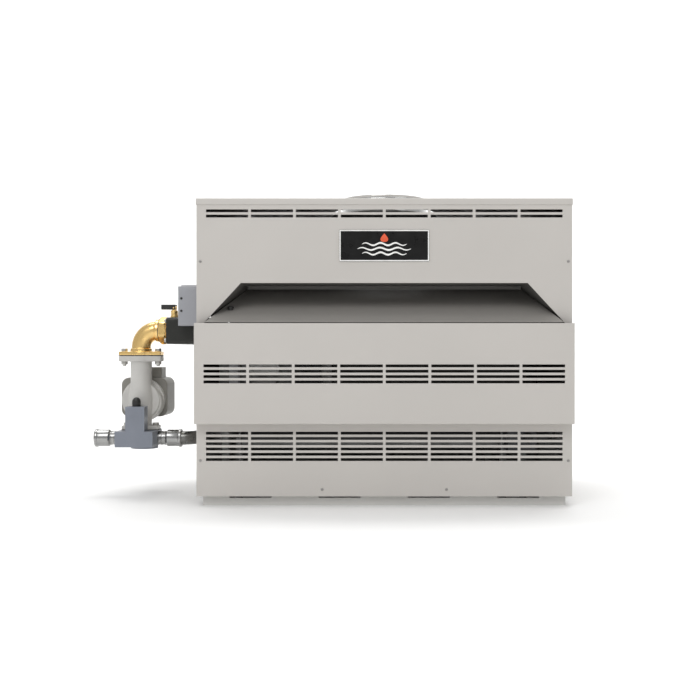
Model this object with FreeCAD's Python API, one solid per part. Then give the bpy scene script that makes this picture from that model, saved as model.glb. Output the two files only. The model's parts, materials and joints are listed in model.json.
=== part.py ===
import FreeCAD, Part
import math
import os

# Gas pool heater with an atmospheric burner, a finned-tube heat exchanger and an inline pump.
# Millimetres. +Z is up, the front of the cabinet faces -Y, and the plumbing is on the -X side.
# The origin is the middle of the base pan's underside.

V = FreeCAD.Vector

# ---- cabinet ----
CABINET_WIDTH = 1040.0
CABINET_DEPTH = 660.0
CABINET_HEIGHT = 852.2
SHEET = 1.5
SKIRT_GAP = 27.3            # floor to the lower edge of the jacket panels
FLANGE = 18.0               # turned edges that the panels screw to
LID_LIP = 17.7
LID_SIDE_GAP = 0.5
LID_HOLE_GAP = 29.0         # open ring round the vent collar

BASE_INSET = 15.5           # base pan's walls stand this far inside the jackets
BASE_FRONT_INSET = 20.0
BASE_HEIGHT = 42.0
TOE_LIP = 16.0              # upturned lip that the lower panel screws to
TOE_LIP_END_GAP = 25.0
TOE_SCREW_X = 172.0
TOE_SCREW_Z = 46.7
ANCHOR_RADIUS = 5.5
ANCHOR_INSET = 45.0

# ---- louvres ----
LOUVRE_PITCH = 124.3
LOUVRE_LENGTH = 116.5
LOUVRE_HEIGHT = 7.9
LOUVRE_ROW_PITCH = 14.6
LOUVRE_SIDE_MARGIN = 25.0

# ---- front panels ----
LOWER_PANEL_TOP = 245.0
LOWER_LOUVRE_TOP = 202.2
LOWER_LOUVRE_ROWS = 6
DOOR_BOTTOM = 229.6
DOOR_TOP = 505.9
DOOR_PROUD = 40.7
DOOR_REST_GAP = 0.4
DOOR_TOP_FLANGE = 10.0
DOOR_LOUVRE_TOP = 389.0
DOOR_LOUVRE_ROWS = 4
UPPER_PANEL_BOTTOM = 500.0
UPPER_LOUVRE_DROP = 34.7    # lid's top to the first louvre row
UPPER_LOUVRE_ROWS = 2
BADGE_WIDTH = 249.2
BADGE_HEIGHT = 88.0
BADGE_DROP = 131.1          # lid's top to the badge's middle
BADGE_THICK = 2.0
SCREW_HEAD_RADIUS = 4.6
SCREW_SHANK_RADIUS = 2.1
SCREW_SIDE_INSET = 11.0
SCREW_HOLE_DEPTH = 12.0
SCREW_LENGTH = 9.0
UPPER_SCREW_DROP = 174.8
LOWER_SCREW_Z = 126.2

# ---- draft relief recess ----
RECESS_TOP = 617.8
RECESS_TOP_INSET = 123.0    # each end of the recess's upper edge, in from the cabinet's side
RECESS_SIDE_RUN = 0.9265    # outward run for each millimetre down
CEILING_DEPTH = 145.0
CEILING_LIP = 9.8
BAFFLE_SLOPE = 0.46
BAFFLE_LIFT = 0.8           # clears the door's top edge
BAFFLE_DEPTH = 225.0
BAFFLE_SIDE_GAP = 0.2
BAFFLE_FRONT_GAP = 8.0      # room beside the baffle's front edge
CHEEK_DEPTH = 190.0
SPILL_SWITCH_RADIUS = 9.0
SPILL_SWITCH_INSET = 88.4
SPILL_SWITCH_DEPTH = 42.0

# ---- vent ----
COLLAR_BORE = 257.0
COLLAR_SHEET = 1.2
COLLAR_RISE = 40.0
COLLAR_LENGTH = 58.0
COLLAR_FLANGE = 12.0
COLLAR_BEAD_DROP = 9.0
COLLAR_BEAD = 3.0
PLATE_MARGIN = 16.0         # hood's top plate beyond the collar's bore
COLLECTOR_FRONT_SETBACK = 270.0
RELIEF_WINDOW_LOW = 642.0
RELIEF_WINDOW_HIGH = 700.0
COLLECTOR_SIDE_INSET = 75.0
COLLECTOR_SKIRT = 45.0

# ---- heat exchanger ----
EXCHANGER_Z = 487.6
HEADER_HEIGHT = 76.4
HEADER_SETBACK = 90.0       # cabinet's front to the headers' front ends
HEADER_BACK_GAP = 40.0
HEADER_DEPTH = 88.0
HEADER_WALL = 8.0
HEADER_OUT = 104.0          # cabinet's left wall to the header's outer face
TUBE_SHEET_THICK = 10.0
TUBE_SHEET_LIP = 4.0
GASKET = 1.5
TUBE_END_ROOM = 20.0
TUBE_PITCH = 52.0
TUBE_RADIUS = 13.0
TUBE_WALL = 1.2
FIN_RADIUS = 23.0
FIN_END_GAP = 12.0
RETURN_HEADER_INSET = 14.0
RETURN_HEADER_DEPTH = 58.0
HEADER_BOLT_RADIUS = 4.0
HEADER_BOLT_COUNT = 6
UNION_BOLT_GAP = 50.0       # pump's axis to the header bolts on each side of the union

# ---- combustion chamber and burners ----
CHAMBER_SIDE_INSET = 62.0
CHAMBER_END_INSET = 4.0     # inside the headers' ends
CHAMBER_BOTTOM = 236.0
REFRACTORY = 25.0
BURNER_TRAY_BOTTOM = 150.0
BURNER_PITCH = 66.6
BURNER_WIDTH = 26.0
BURNER_HEIGHT = 30.0
BURNER_Z = 187.5
MANIFOLD_SETBACK = 58.0     # cabinet's front to the gas manifold's axis
MANIFOLD_RADIUS = 15.0
MANIFOLD_LEFT_INSET = 113.0
MANIFOLD_RIGHT_INSET = 189.0
GAS_PIPE_RADIUS = 13.4
GAS_INLET_Z = 320.0
GAS_BORE_RADIUS = 11.9
GAS_COUPLING_RADIUS = 18.0
GAS_COUPLING_LENGTH = 26.0

# ---- water side, outside the left wall ----
PUMP_OUT = 205.4            # cabinet's left wall to the pump's axis
PUMP_SETBACK = 230.0        # cabinet's front to the pump's axis
WATER_Z = 169.9             # axis of the manifold and its couplings
WATER_BORE = 17.0
TUBE_OD = 41.3              # 1-1/2 inch copper water tube
TUBE_SOCKET_GAP = 0.15
TUBE_THICK = 1.6
RETURN_NECK = 26.0
RETURN_BOSS_WALL = 4.5
RETURN_BOSS_GAP = 0.85      # boss to the gasket's plane
RETURN_INSET = 160.0        # header's rear end to the return tube's axis
ELBOW_Z = 490.2
ELBOW_RADIUS = 28.0
ELBOW_BEND = 50.0
FLANGE_LENGTH = 125.0
FLANGE_DEPTH = 78.0
FLANGE_TIP = 22.0
FLANGE_BOLT_X = 50.2
LOWER_FLANGE_LENGTH = 108.0
LOWER_FLANGE_BOLT_X = 43.0
FLANGE_BOLT_RADIUS = 5.0
FLANGE_BOLT_HEAD = 9.8
LOWER_BOLT_DEPTH = 5.0
UPPER_FLANGE_TOP = 427.8
UPPER_FLANGE_FACE = 416.2
UPPER_FLANGE_BOTTOM = 398.3
LOWER_FLANGE_TOP = 208.0
PUMP_PIPE_RADIUS = 31.2
VOLUTE_Z = 282.0
VOLUTE_RADIUS = 56.0
VOLUTE_FRONT = 10.0
VOLUTE_WALL = 6.0
SCROLL_OFFSET = 5.0
BELLY_RADIUS = 37.0
VOLUTE_BACK = 34.0
MOTOR_RIM = 8.0
IMPELLER_RADIUS = 42.0
IMPELLER_GAP = 3.0
MOTOR_WIDTH = 138.0
MOTOR_HEIGHT = 118.0
MOTOR_LENGTH = 118.0
MOTOR_WALL = 6.0
SHAFT_RADIUS = 7.0
RUNNING_GAP = 0.06
UNION_RADIUS = 41.0
BYPASS_TOP = 194.6
BYPASS_BOTTOM = 149.0
BYPASS_LEFT = 58.6          # pump's axis to each end and face of the manifold
BYPASS_RIGHT = 51.4
BYPASS_FRONT = 84.0
BYPASS_BACK = 46.0
NECK_WIDTH = 55.5
NECK_DEPTH = 44.0
NECK_TOP = 267.0
KNOB_RADIUS = 12.5
KNOB_TOP = 294.0
COUPLING_NECK_WALL = 3.2
COUPLING_BELL_WALL = 6.2
COUPLING_BEAD = 2.0
COUPLING_NECK = 33.0
COUPLING_BELL = 44.5
OUTLET_SIDE = 29.6          # pump's axis to the pool outlet's axis
BYPASS_PASSAGE_RADIUS = 8.0
PLUG_RADIUS = 15.0
STEM_RADIUS = 5.0

# ---- small parts ----
RELIEF_INSET_X = 18.0       # in from the header's outer face
RELIEF_INSET_Y = 35.0       # in from the header's front end
RELIEF_TAIL_RADIUS = 8.0
RELIEF_PIN_RISE = 28.0
RELIEF_PIN_RADIUS = 2.0
RELIEF_LEVER_REACH = 35.5
RELIEF_LEVER_HALF = 11.0
WIRING_OUT = 59.0           # cabinet's left wall to the box's left side
WIRING_BOTTOM = 500.6
WIRING_TOP = 611.0
WIRING_SETBACK = 44.0
WIRING_DEPTH = 40.0
WIRING_SCREW_Z = (542.4, 577.2)
WIRING_WALL_GAP = 4.0
WIRING_WEB = 14.0
WIRING_EAR = 7.0

HALF_W = CABINET_WIDTH / 2
FRONT_Y = -CABINET_DEPTH / 2
BACK_Y = CABINET_DEPTH / 2
INNER_X = HALF_W - SHEET
INNER_FRONT = FRONT_Y + SHEET
INNER_BACK = BACK_Y - SHEET
PANEL_TOP = CABINET_HEIGHT - SHEET
DOOR_FRONT_Y = FRONT_Y - DOOR_PROUD
SCREW_X = HALF_W - SCREW_SIDE_INSET
UPPER_SCREW_Z = CABINET_HEIGHT - UPPER_SCREW_DROP
BADGE_CENTRE_Z = CABINET_HEIGHT - BADGE_DROP
SPILL_SWITCH_X = SPILL_SWITCH_INSET - HALF_W
COLLECTOR_FRONT_Y = FRONT_Y + COLLECTOR_FRONT_SETBACK
HEADER_FRONT_Y = FRONT_Y + HEADER_SETBACK
HEADER_LENGTH = CABINET_DEPTH - HEADER_SETBACK - HEADER_BACK_GAP
HEADER_LEFT_X = -HALF_W - HEADER_OUT
TUBE_ROOM = HEADER_LENGTH - 2 * (HEADER_WALL + FIN_RADIUS) - TUBE_END_ROOM
TUBE_COUNT = int(TUBE_ROOM // TUBE_PITCH) + 1
CHAMBER_FRONT_Y = HEADER_FRONT_Y + CHAMBER_END_INSET
CHAMBER_BACK_Y = HEADER_FRONT_Y + HEADER_LENGTH - CHAMBER_END_INSET
BURNER_LENGTH = CHAMBER_BACK_Y - CHAMBER_FRONT_Y - 2 * REFRACTORY - 32.0
MANIFOLD_Y = FRONT_Y + MANIFOLD_SETBACK
MANIFOLD_LEFT_X = MANIFOLD_LEFT_INSET - HALF_W
MANIFOLD_RIGHT_X = HALF_W - MANIFOLD_RIGHT_INSET
BURNER_ROOM = MANIFOLD_RIGHT_X - MANIFOLD_LEFT_X - BURNER_WIDTH - 20.0
BURNER_COUNT = int(BURNER_ROOM // BURNER_PITCH) + 1
PUMP_X = -HALF_W - PUMP_OUT
PUMP_Y = FRONT_Y + PUMP_SETBACK
BYPASS_LEFT_X = PUMP_X - BYPASS_LEFT
BYPASS_RIGHT_X = PUMP_X + BYPASS_RIGHT
BYPASS_FRONT_Y = PUMP_Y - BYPASS_FRONT
BYPASS_BACK_Y = PUMP_Y + BYPASS_BACK
OUTLET_X = PUMP_X - OUTLET_SIDE
RELIEF_X = HEADER_LEFT_X + RELIEF_INSET_X
RELIEF_Y = HEADER_FRONT_Y + RELIEF_INSET_Y
WIRING_LEFT_X = -HALF_W - WIRING_OUT
WIRING_FRONT_Y = FRONT_Y + WIRING_SETBACK
WATER_TUBE_R = TUBE_OD / 2
SOCKET_R = WATER_TUBE_R + TUBE_SOCKET_GAP
COUPLING_NECK_RADIUS = WATER_BORE + COUPLING_NECK_WALL
COUPLING_BELL_RADIUS = SOCKET_R + COUPLING_BELL_WALL
RETURN_BOSS_R = WATER_TUBE_R + RETURN_BOSS_WALL
RETURN_X = HEADER_LEFT_X + HEADER_DEPTH - RETURN_BOSS_R - RETURN_BOSS_GAP
RETURN_BACK_Y = HEADER_FRONT_Y + HEADER_LENGTH - RETURN_INSET
RETURN_BEND = RETURN_X - BYPASS_RIGHT_X - RETURN_NECK - COUPLING_BELL


# ---- shape helpers ----
def box(low, high):
    """A box between two corners."""
    size = [high[i] - low[i] for i in range(3)]
    return Part.makeBox(size[0], size[1], size[2], V(*low))


def rod(start, end, radius):
    """A round bar between two points."""
    a = V(*start)
    along = V(*end) - a
    return Part.makeCylinder(radius, along.Length, a, along)


def pipe(start, end, outer, inner):
    """A round tube between two points."""
    return rod(start, end, outer).cut(rod(start, end, inner))


def fuse(shapes):
    """One solid from shapes that share faces or volume."""
    joined = shapes[0].multiFuse(shapes[1:]) if len(shapes) > 1 else shapes[0]
    return joined.removeSplitter()


def cut(shape, tools):
    """A shape with every tool taken out of it."""
    return shape.cut(Part.makeCompound(tools)) if tools else shape


def prism(points, direction):
    """A flat outline pushed along a direction."""
    corners = [V(*p) for p in points]
    return Part.Face(Part.makePolygon(corners + corners[:1])).extrude(V(*direction))


def rounded_box(low, high, radius, axis):
    """A box whose four edges along one axis are rounded."""
    solid = box(low, high)
    wanted = {"x": V(1, 0, 0), "y": V(0, 1, 0), "z": V(0, 0, 1)}[axis]
    edges = [e for e in solid.Edges if abs(e.tangentAt(e.FirstParameter).dot(wanted)) > 0.99]
    return solid.makeFillet(radius, edges)


def spin(points, origin, axis):
    """A turned solid; each point is (distance along the axis, radius)."""
    line = V(*axis)
    side = V(0, 0, 1) if abs(line.z) < 0.5 else V(1, 0, 0)
    start = V(*origin)
    corners = [start + line * p[0] + side * p[1] for p in points]
    face = Part.Face(Part.makePolygon(corners + corners[:1]))
    return face.revolve(start, line, 360)


def hexagon(centre, axis, across_corners, length):
    """A hexagonal prism, such as a nut or a bolt's head."""
    line = V(*axis)
    side = V(0, 0, 1) if abs(line.z) < 0.5 else V(1, 0, 0)
    turn = line.cross(side)
    start = V(*centre)
    corners = []
    for i in range(6):
        angle = math.radians(60 * i)
        corners.append(start + (side * math.cos(angle) + turn * math.sin(angle)) * across_corners)
    return Part.Face(Part.makePolygon(corners + corners[:1])).extrude(line * length)


def arc_pipe(runs, radius):
    """A round bar swept along straight runs and arcs given as Part edges."""
    path = Part.Wire(runs)
    first = runs[0]
    start = first.valueAt(first.FirstParameter)
    ring = Part.Wire(Part.Circle(start, first.tangentAt(first.FirstParameter), radius).toShape())
    return path.makePipeShell([ring], True, False)


def save(name, shape):
    """Write one node."""
    shape.exportStep("parts/" + name + ".step")


def louvre_cutters(top_row_z, rows, y_low, y_high):
    """Slots for rows of louvres, as many columns as the panel's width holds."""
    columns = int((CABINET_WIDTH - 2 * LOUVRE_SIDE_MARGIN + LOUVRE_PITCH - LOUVRE_LENGTH) // LOUVRE_PITCH)
    cutters = []
    for column in range(columns):
        x = (column - (columns - 1) / 2) * LOUVRE_PITCH
        for row in range(rows):
            z = top_row_z - row * LOUVRE_ROW_PITCH
            low = (x - LOUVRE_LENGTH / 2, y_low, z - LOUVRE_HEIGHT / 2)
            high = (x + LOUVRE_LENGTH / 2, y_high, z + LOUVRE_HEIGHT / 2)
            cutters.append(box(low, high))
    return cutters


def recess_half_width(z):
    """Half the recess's width at a height."""
    return HALF_W - RECESS_TOP_INSET + (RECESS_TOP - z) * RECESS_SIDE_RUN


def baffle_z(y):
    """Height of the relief baffle's upper face."""
    return DOOR_TOP + (y - DOOR_FRONT_Y) * BAFFLE_SLOPE


# ---- base and jackets ----
base_half_w = HALF_W - BASE_INSET
base_front = FRONT_Y + BASE_FRONT_INSET
base_back = BACK_Y - BASE_FRONT_INSET


def make_base_pan():
    outer = box((-base_half_w, base_front, 0), (base_half_w, base_back, BASE_HEIGHT))
    inner = box((SHEET - base_half_w, base_front + SHEET, SHEET),
                (base_half_w - SHEET, base_back - SHEET, BASE_HEIGHT + 1))
    rim = box((-INNER_X, INNER_FRONT, BASE_HEIGHT - SHEET), (INNER_X, INNER_BACK, BASE_HEIGHT))
    rim = rim.cut(box((SHEET - base_half_w, base_front + SHEET, 0),
                      (base_half_w - SHEET, base_back - SHEET, BASE_HEIGHT + 1)))
    lip_half = HALF_W - TOE_LIP_END_GAP
    lip = box((-lip_half, INNER_FRONT, BASE_HEIGHT - SHEET),
              (lip_half, INNER_FRONT + SHEET, BASE_HEIGHT + TOE_LIP))
    slots = [screw_hole(x, z, FRONT_Y) for x, z in toe_screw_places()]
    for column in (-1.5, -0.5, 0.5, 1.5):
        x = column * 2 * LOUVRE_PITCH
        low = (x - LOUVRE_LENGTH / 2, base_front - 1, SKIRT_GAP - LOUVRE_HEIGHT + 1)
        high = (x + LOUVRE_LENGTH / 2, base_front + SHEET + 1, SKIRT_GAP + 1)
        slots.append(box(low, high))
    for sx in (-1, 1):
        for sy in (-1, 1):
            x = sx * (base_half_w - ANCHOR_INSET)
            y = sy * (base_back - ANCHOR_INSET)
            slots.append(rod((x, y, -1), (x, y, SHEET + 1), ANCHOR_RADIUS))
    return cut(fuse([outer.cut(inner), rim, lip]), slots)


def make_side_jacket(side):
    skin = box((INNER_X, INNER_FRONT, SKIRT_GAP), (HALF_W, INNER_BACK, PANEL_TOP))
    front = box((HALF_W - FLANGE, INNER_FRONT, BASE_HEIGHT),
                (INNER_X, INNER_FRONT + SHEET, PANEL_TOP))
    back = box((HALF_W - FLANGE, INNER_BACK - SHEET, BASE_HEIGHT),
               (INNER_X, INNER_BACK, PANEL_TOP))
    screws = [screw_hole(x, z, FRONT_Y) for x, z in panel_screw_places() if x > 0]
    shape = cut(fuse([skin, front, back]), screws)
    if side < 0:
        shape = shape.mirror(V(0, 0, 0), V(1, 0, 0))
    return shape


def make_left_jacket():
    half = HEADER_HEIGHT / 2 + TUBE_SHEET_LIP + 2
    end_gap = 6.0
    opening = box((-HALF_W - 1, HEADER_FRONT_Y - end_gap, EXCHANGER_Z - half),
                  (1 - INNER_X, HEADER_FRONT_Y + HEADER_LENGTH + end_gap, EXCHANGER_Z + half))
    return make_side_jacket(-1).cut(opening)


def make_right_jacket():
    hole = rod((INNER_X - 1, MANIFOLD_Y, GAS_INLET_Z), (HALF_W + 1, MANIFOLD_Y, GAS_INLET_Z),
               GAS_COUPLING_RADIUS + 3)
    return make_side_jacket(1).cut(hole)


def make_rear_jacket():
    skin = box((-HALF_W, INNER_BACK, SKIRT_GAP), (HALF_W, BACK_Y, PANEL_TOP))
    low_cutters = louvre_cutters(LOWER_LOUVRE_TOP, LOWER_LOUVRE_ROWS, INNER_BACK - 1, BACK_Y + 1)
    high_cutters = louvre_cutters(CABINET_HEIGHT - UPPER_LOUVRE_DROP, UPPER_LOUVRE_ROWS,
                                  INNER_BACK - 1, BACK_Y + 1)
    return cut(skin, low_cutters + high_cutters)


# ---- screws ----
def panel_screw_places():
    return [(side * SCREW_X, z) for z in (UPPER_SCREW_Z, LOWER_SCREW_Z) for side in (-1, 1)]


def toe_screw_places():
    return [(side * TOE_SCREW_X, TOE_SCREW_Z) for side in (-1, 1)]


def pan_screw(x, z, y):
    """A pan-head screw whose head's underside is at y and whose shank points to the back."""
    head = spin([(0, 0), (2.4, 0), (2.2, SCREW_HEAD_RADIUS * 0.6), (1.2, SCREW_HEAD_RADIUS * 0.95),
                 (0, SCREW_HEAD_RADIUS)], (x, y, z), (0, -1, 0))
    shank = rod((x, y, z), (x, y + SCREW_LENGTH, z), SCREW_SHANK_RADIUS)
    return fuse([head, shank])


def screw_hole(x, z, y):
    return rod((x, y - 1, z), (x, y + SCREW_HOLE_DEPTH, z), SCREW_SHANK_RADIUS)


# ---- front ----
def make_upper_front_panel():
    skin = box((-HALF_W, FRONT_Y, UPPER_PANEL_BOTTOM), (HALF_W, INNER_FRONT, PANEL_TOP))
    low = UPPER_PANEL_BOTTOM - 1
    outline = [(-recess_half_width(RECESS_TOP), FRONT_Y - 1, RECESS_TOP),
               (recess_half_width(RECESS_TOP), FRONT_Y - 1, RECESS_TOP),
               (recess_half_width(low), FRONT_Y - 1, low),
               (-recess_half_width(low), FRONT_Y - 1, low)]
    cutters = [prism(outline, (0, SHEET + 2, 0))]
    cutters += louvre_cutters(CABINET_HEIGHT - UPPER_LOUVRE_DROP, UPPER_LOUVRE_ROWS,
                              FRONT_Y - 1, INNER_FRONT + 1)
    cutters += [screw_hole(x, z, FRONT_Y) for x, z in panel_screw_places()]
    return cut(skin, cutters)


def make_lower_front_panel():
    skin = box((-HALF_W, FRONT_Y, SKIRT_GAP), (HALF_W, INNER_FRONT, LOWER_PANEL_TOP))
    cutters = louvre_cutters(LOWER_LOUVRE_TOP, LOWER_LOUVRE_ROWS, FRONT_Y - 1, INNER_FRONT + 1)
    cutters += [screw_hole(x, z, FRONT_Y) for x, z in panel_screw_places() + toe_screw_places()]
    return cut(skin, cutters)


def make_middle_door():
    back = FRONT_Y - DOOR_REST_GAP
    outer = box((-HALF_W, DOOR_FRONT_Y, DOOR_BOTTOM), (HALF_W, back, DOOR_TOP))
    inner = box((-INNER_X, DOOR_FRONT_Y + SHEET, DOOR_BOTTOM + SHEET),
                (INNER_X, back + 1, DOOR_TOP - SHEET))
    top_gap = box((-INNER_X, DOOR_FRONT_Y + DOOR_TOP_FLANGE, DOOR_TOP - SHEET - 1),
                  (INNER_X, back + 1, DOOR_TOP + 1))
    cutters = louvre_cutters(DOOR_LOUVRE_TOP, DOOR_LOUVRE_ROWS,
                             DOOR_FRONT_Y - 1, DOOR_FRONT_Y + SHEET + 1)
    return cut(outer, [inner, top_gap] + cutters)


# ---- lid and vent ----
def make_top_lid():
    edge_x = HALF_W + LID_SIDE_GAP
    edge_y = CABINET_DEPTH / 2 + LID_SIDE_GAP
    outer = box((-edge_x - SHEET, -edge_y - SHEET, CABINET_HEIGHT - LID_LIP),
                (edge_x + SHEET, edge_y + SHEET, CABINET_HEIGHT))
    inner = box((-edge_x, -edge_y, CABINET_HEIGHT - LID_LIP - 1), (edge_x, edge_y, PANEL_TOP))
    hole = rod((0, 0, PANEL_TOP - 1), (0, 0, CABINET_HEIGHT + 1), COLLAR_BORE / 2 + LID_HOLE_GAP)
    return cut(outer, [inner, hole])


collar_r = COLLAR_BORE / 2
collar_top = CABINET_HEIGHT + COLLAR_RISE
collar_bottom = collar_top - COLLAR_LENGTH


def make_vent_collar():
    wall = pipe((0, 0, collar_bottom), (0, 0, collar_top), collar_r + COLLAR_SHEET, collar_r)
    flange = pipe((0, 0, collar_bottom), (0, 0, collar_bottom + SHEET), collar_r + COLLAR_FLANGE, collar_r)
    bead_top = collar_top - COLLAR_BEAD_DROP
    bead = pipe((0, 0, bead_top - COLLAR_BEAD), (0, 0, bead_top), collar_r + COLLAR_SHEET + 1, collar_r)
    return fuse([wall, flange, bead])


collector_half_w = HALF_W - COLLECTOR_SIDE_INSET
collector_front = COLLECTOR_FRONT_Y
collector_back = HEADER_FRONT_Y + HEADER_LENGTH - 8
collector_bottom = EXCHANGER_Z + FIN_RADIUS + 30


def frustum(shrink, low, high):
    """The tapering hood between the exchanger's skirt and the vent's flange."""
    half = collar_r + PLATE_MARGIN - shrink
    lower = [(-collector_half_w + shrink, collector_front + shrink),
             (collector_half_w - shrink, collector_front + shrink),
             (collector_half_w - shrink, collector_back - shrink),
             (-collector_half_w + shrink, collector_back - shrink)]
    upper = [(-half, -half), (half, -half), (half, half), (-half, half)]
    rings = []
    for ring, z in ((lower, low), (upper, high)):
        corners = [V(x, y, z) for x, y in ring]
        rings.append(Part.makePolygon(corners + corners[:1]))
    return Part.makeLoft(rings, True, True)


def make_flue_collector():
    skirt_top = collector_bottom + COLLECTOR_SKIRT
    plate_low = collar_bottom - SHEET
    skirt = box((-collector_half_w, collector_front, collector_bottom),
                (collector_half_w, collector_back, skirt_top))
    skirt = skirt.cut(box((SHEET - collector_half_w, collector_front + SHEET, collector_bottom - 1),
                          (collector_half_w - SHEET, collector_back - SHEET, skirt_top + 1)))
    slope = frustum(0, skirt_top, plate_low).cut(frustum(SHEET, skirt_top, plate_low))
    half = collar_r + PLATE_MARGIN
    plate = box((-half, -half, plate_low), (half, half, collar_bottom))
    plate = plate.cut(rod((0, 0, plate_low - 1), (0, 0, collar_bottom + 1), collar_r + 2))
    window_half = recess_half_width(RECESS_TOP) - 60
    window = box((-window_half, -half, RELIEF_WINDOW_LOW), (window_half, 0, RELIEF_WINDOW_HIGH))
    return fuse([skirt, slope, plate]).cut(window)


# ---- draft relief recess ----
def make_relief_ceiling():
    half = recess_half_width(RECESS_TOP)
    back = FRONT_Y + CEILING_DEPTH
    sheet = box((-half, INNER_FRONT, RECESS_TOP), (half, back, RECESS_TOP + SHEET))
    lip = box((-half, back - SHEET, RECESS_TOP - CEILING_LIP), (half, back, RECESS_TOP + SHEET))
    hem = box((-half, INNER_FRONT, RECESS_TOP), (half, INNER_FRONT + SHEET, RECESS_TOP + FLANGE))
    throat_top_y = collector_front - 50
    outline = [(-half, back - SHEET, RECESS_TOP), (-half, back, RECESS_TOP),
               (-half, throat_top_y, RELIEF_WINDOW_HIGH), (-half, throat_top_y - SHEET, RELIEF_WINDOW_HIGH)]
    throat = prism(outline, (2 * half, 0, 0))
    return fuse([sheet, lip, hem, throat])


def make_relief_cheek(side):
    """A slanting side wall of the recess."""
    back = FRONT_Y + CHEEK_DEPTH
    low = DOOR_TOP + 4
    inner_top = (recess_half_width(RECESS_TOP), INNER_FRONT, RECESS_TOP)
    inner_low = (recess_half_width(low), INNER_FRONT, low)
    thick = SHEET / math.sin(math.atan(1 / RECESS_SIDE_RUN))
    outer_low = (inner_low[0] + thick, INNER_FRONT, low)
    outer_top = (inner_top[0] + thick, INNER_FRONT, RECESS_TOP)
    wall = prism([inner_top, inner_low, outer_low, outer_top], (0, back - INNER_FRONT, 0))
    under = 4.0
    below = [(0, INNER_FRONT - 1, baffle_z(INNER_FRONT - 1) - under), (0, INNER_FRONT - 1, 0),
             (0, back + 1, 0), (0, back + 1, baffle_z(back + 1) - under)]
    wall = wall.cut(prism(below, (HALF_W, 0, 0)))
    if side < 0:
        wall = wall.mirror(V(0, 0, 0), V(1, 0, 0))
    return wall


def make_relief_baffle():
    front = DOOR_FRONT_Y + SHEET + DOOR_REST_GAP + 1
    back = FRONT_Y + BAFFLE_DEPTH
    lift = BAFFLE_LIFT
    profile = [(0, front, baffle_z(front) + lift), (0, back, baffle_z(back) + lift),
               (0, back, baffle_z(back) + lift + SHEET), (0, front, baffle_z(front) + lift + SHEET)]
    wide = 2 * HALF_W
    sheet = prism([(-wide / 2, p[1], p[2]) for p in profile], (wide, 0, 0))
    low = DOOR_TOP - 5
    high = baffle_z(back) + 20
    high_half = recess_half_width(high) - BAFFLE_SIDE_GAP
    low_half = recess_half_width(low) - BAFFLE_FRONT_GAP
    outline = [(-high_half, front - 1, high), (high_half, front - 1, high),
               (low_half, front - 1, low), (-low_half, front - 1, low)]
    shape = sheet.common(prism(outline, (0, back - front + 2, 0)))
    hole_x = SPILL_SWITCH_X
    hole_y = FRONT_Y + SPILL_SWITCH_DEPTH
    z = baffle_z(hole_y)
    return shape.cut(rod((hole_x, hole_y, z - 20), (hole_x, hole_y, z + 20), SPILL_SWITCH_RADIUS - 2))


def make_spill_switch():
    x = SPILL_SWITCH_X
    y = FRONT_Y + SPILL_SWITCH_DEPTH
    z = baffle_z(y)
    rise = SPILL_SWITCH_RADIUS * BAFFLE_SLOPE + SHEET + BAFFLE_LIFT
    cap = spin([(0, 0), (5, 0), (4.4, SPILL_SWITCH_RADIUS - 2), (3, SPILL_SWITCH_RADIUS),
                (0, SPILL_SWITCH_RADIUS)], (x, y, z + rise), (0, 0, 1))
    stem = rod((x, y, z - 14), (x, y, z + rise), SPILL_SWITCH_RADIUS - 2.5)
    return fuse([cap, stem])


def make_badge_plate():
    half = BADGE_WIDTH / 2
    low = BADGE_CENTRE_Z - BADGE_HEIGHT / 2
    return rounded_box((-half, FRONT_Y - BADGE_THICK, low), (half, FRONT_Y, low + BADGE_HEIGHT), 3.0, "y")


# ---- heat exchanger ----
header_right_x = HEADER_LEFT_X + HEADER_DEPTH
sheet_left_x = header_right_x + GASKET
tube_left_x = sheet_left_x
return_right_x = INNER_X - RETURN_HEADER_INSET
return_left_x = return_right_x - RETURN_HEADER_DEPTH
sheet_right_x = return_left_x - GASKET
header_back_y = HEADER_FRONT_Y + HEADER_LENGTH
header_low = EXCHANGER_Z - HEADER_HEIGHT / 2
header_high = EXCHANGER_Z + HEADER_HEIGHT / 2


def tube_places():
    middle = (HEADER_FRONT_Y + header_back_y) / 2
    return [middle + (i - (TUBE_COUNT - 1) / 2) * TUBE_PITCH for i in range(TUBE_COUNT)]


def chamber_spans():
    """Front and rear ends of the inlet and outlet chambers, parted between two tubes."""
    wall_y = tube_places()[TUBE_COUNT // 2] - TUBE_PITCH / 2
    return [(HEADER_FRONT_Y + HEADER_WALL, wall_y - HEADER_WALL / 2),
            (wall_y + HEADER_WALL / 2, header_back_y - HEADER_WALL)]


def header_bolt_places():
    inset = HEADER_WALL + 2
    first = PUMP_Y + UNION_BOLT_GAP
    step = (header_back_y - inset - first) / (HEADER_BOLT_COUNT - 3)
    rows = [HEADER_FRONT_Y + inset, PUMP_Y - UNION_BOLT_GAP]
    rows += [first + step * i for i in range(HEADER_BOLT_COUNT - 2)]
    return [(y, z) for y in rows for z in (header_low + inset, header_high - inset)]


def make_tube_sheet(left_x):
    plate = box((left_x, HEADER_FRONT_Y - TUBE_SHEET_LIP, header_low - TUBE_SHEET_LIP),
                (left_x + TUBE_SHEET_THICK, header_back_y + TUBE_SHEET_LIP,
                 header_high + TUBE_SHEET_LIP))
    holes = []
    for y in tube_places():
        holes.append(rod((left_x - 1, y, EXCHANGER_Z), (left_x + TUBE_SHEET_THICK + 1, y, EXCHANGER_Z),
                         TUBE_RADIUS))
    return cut(plate, holes)


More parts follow.
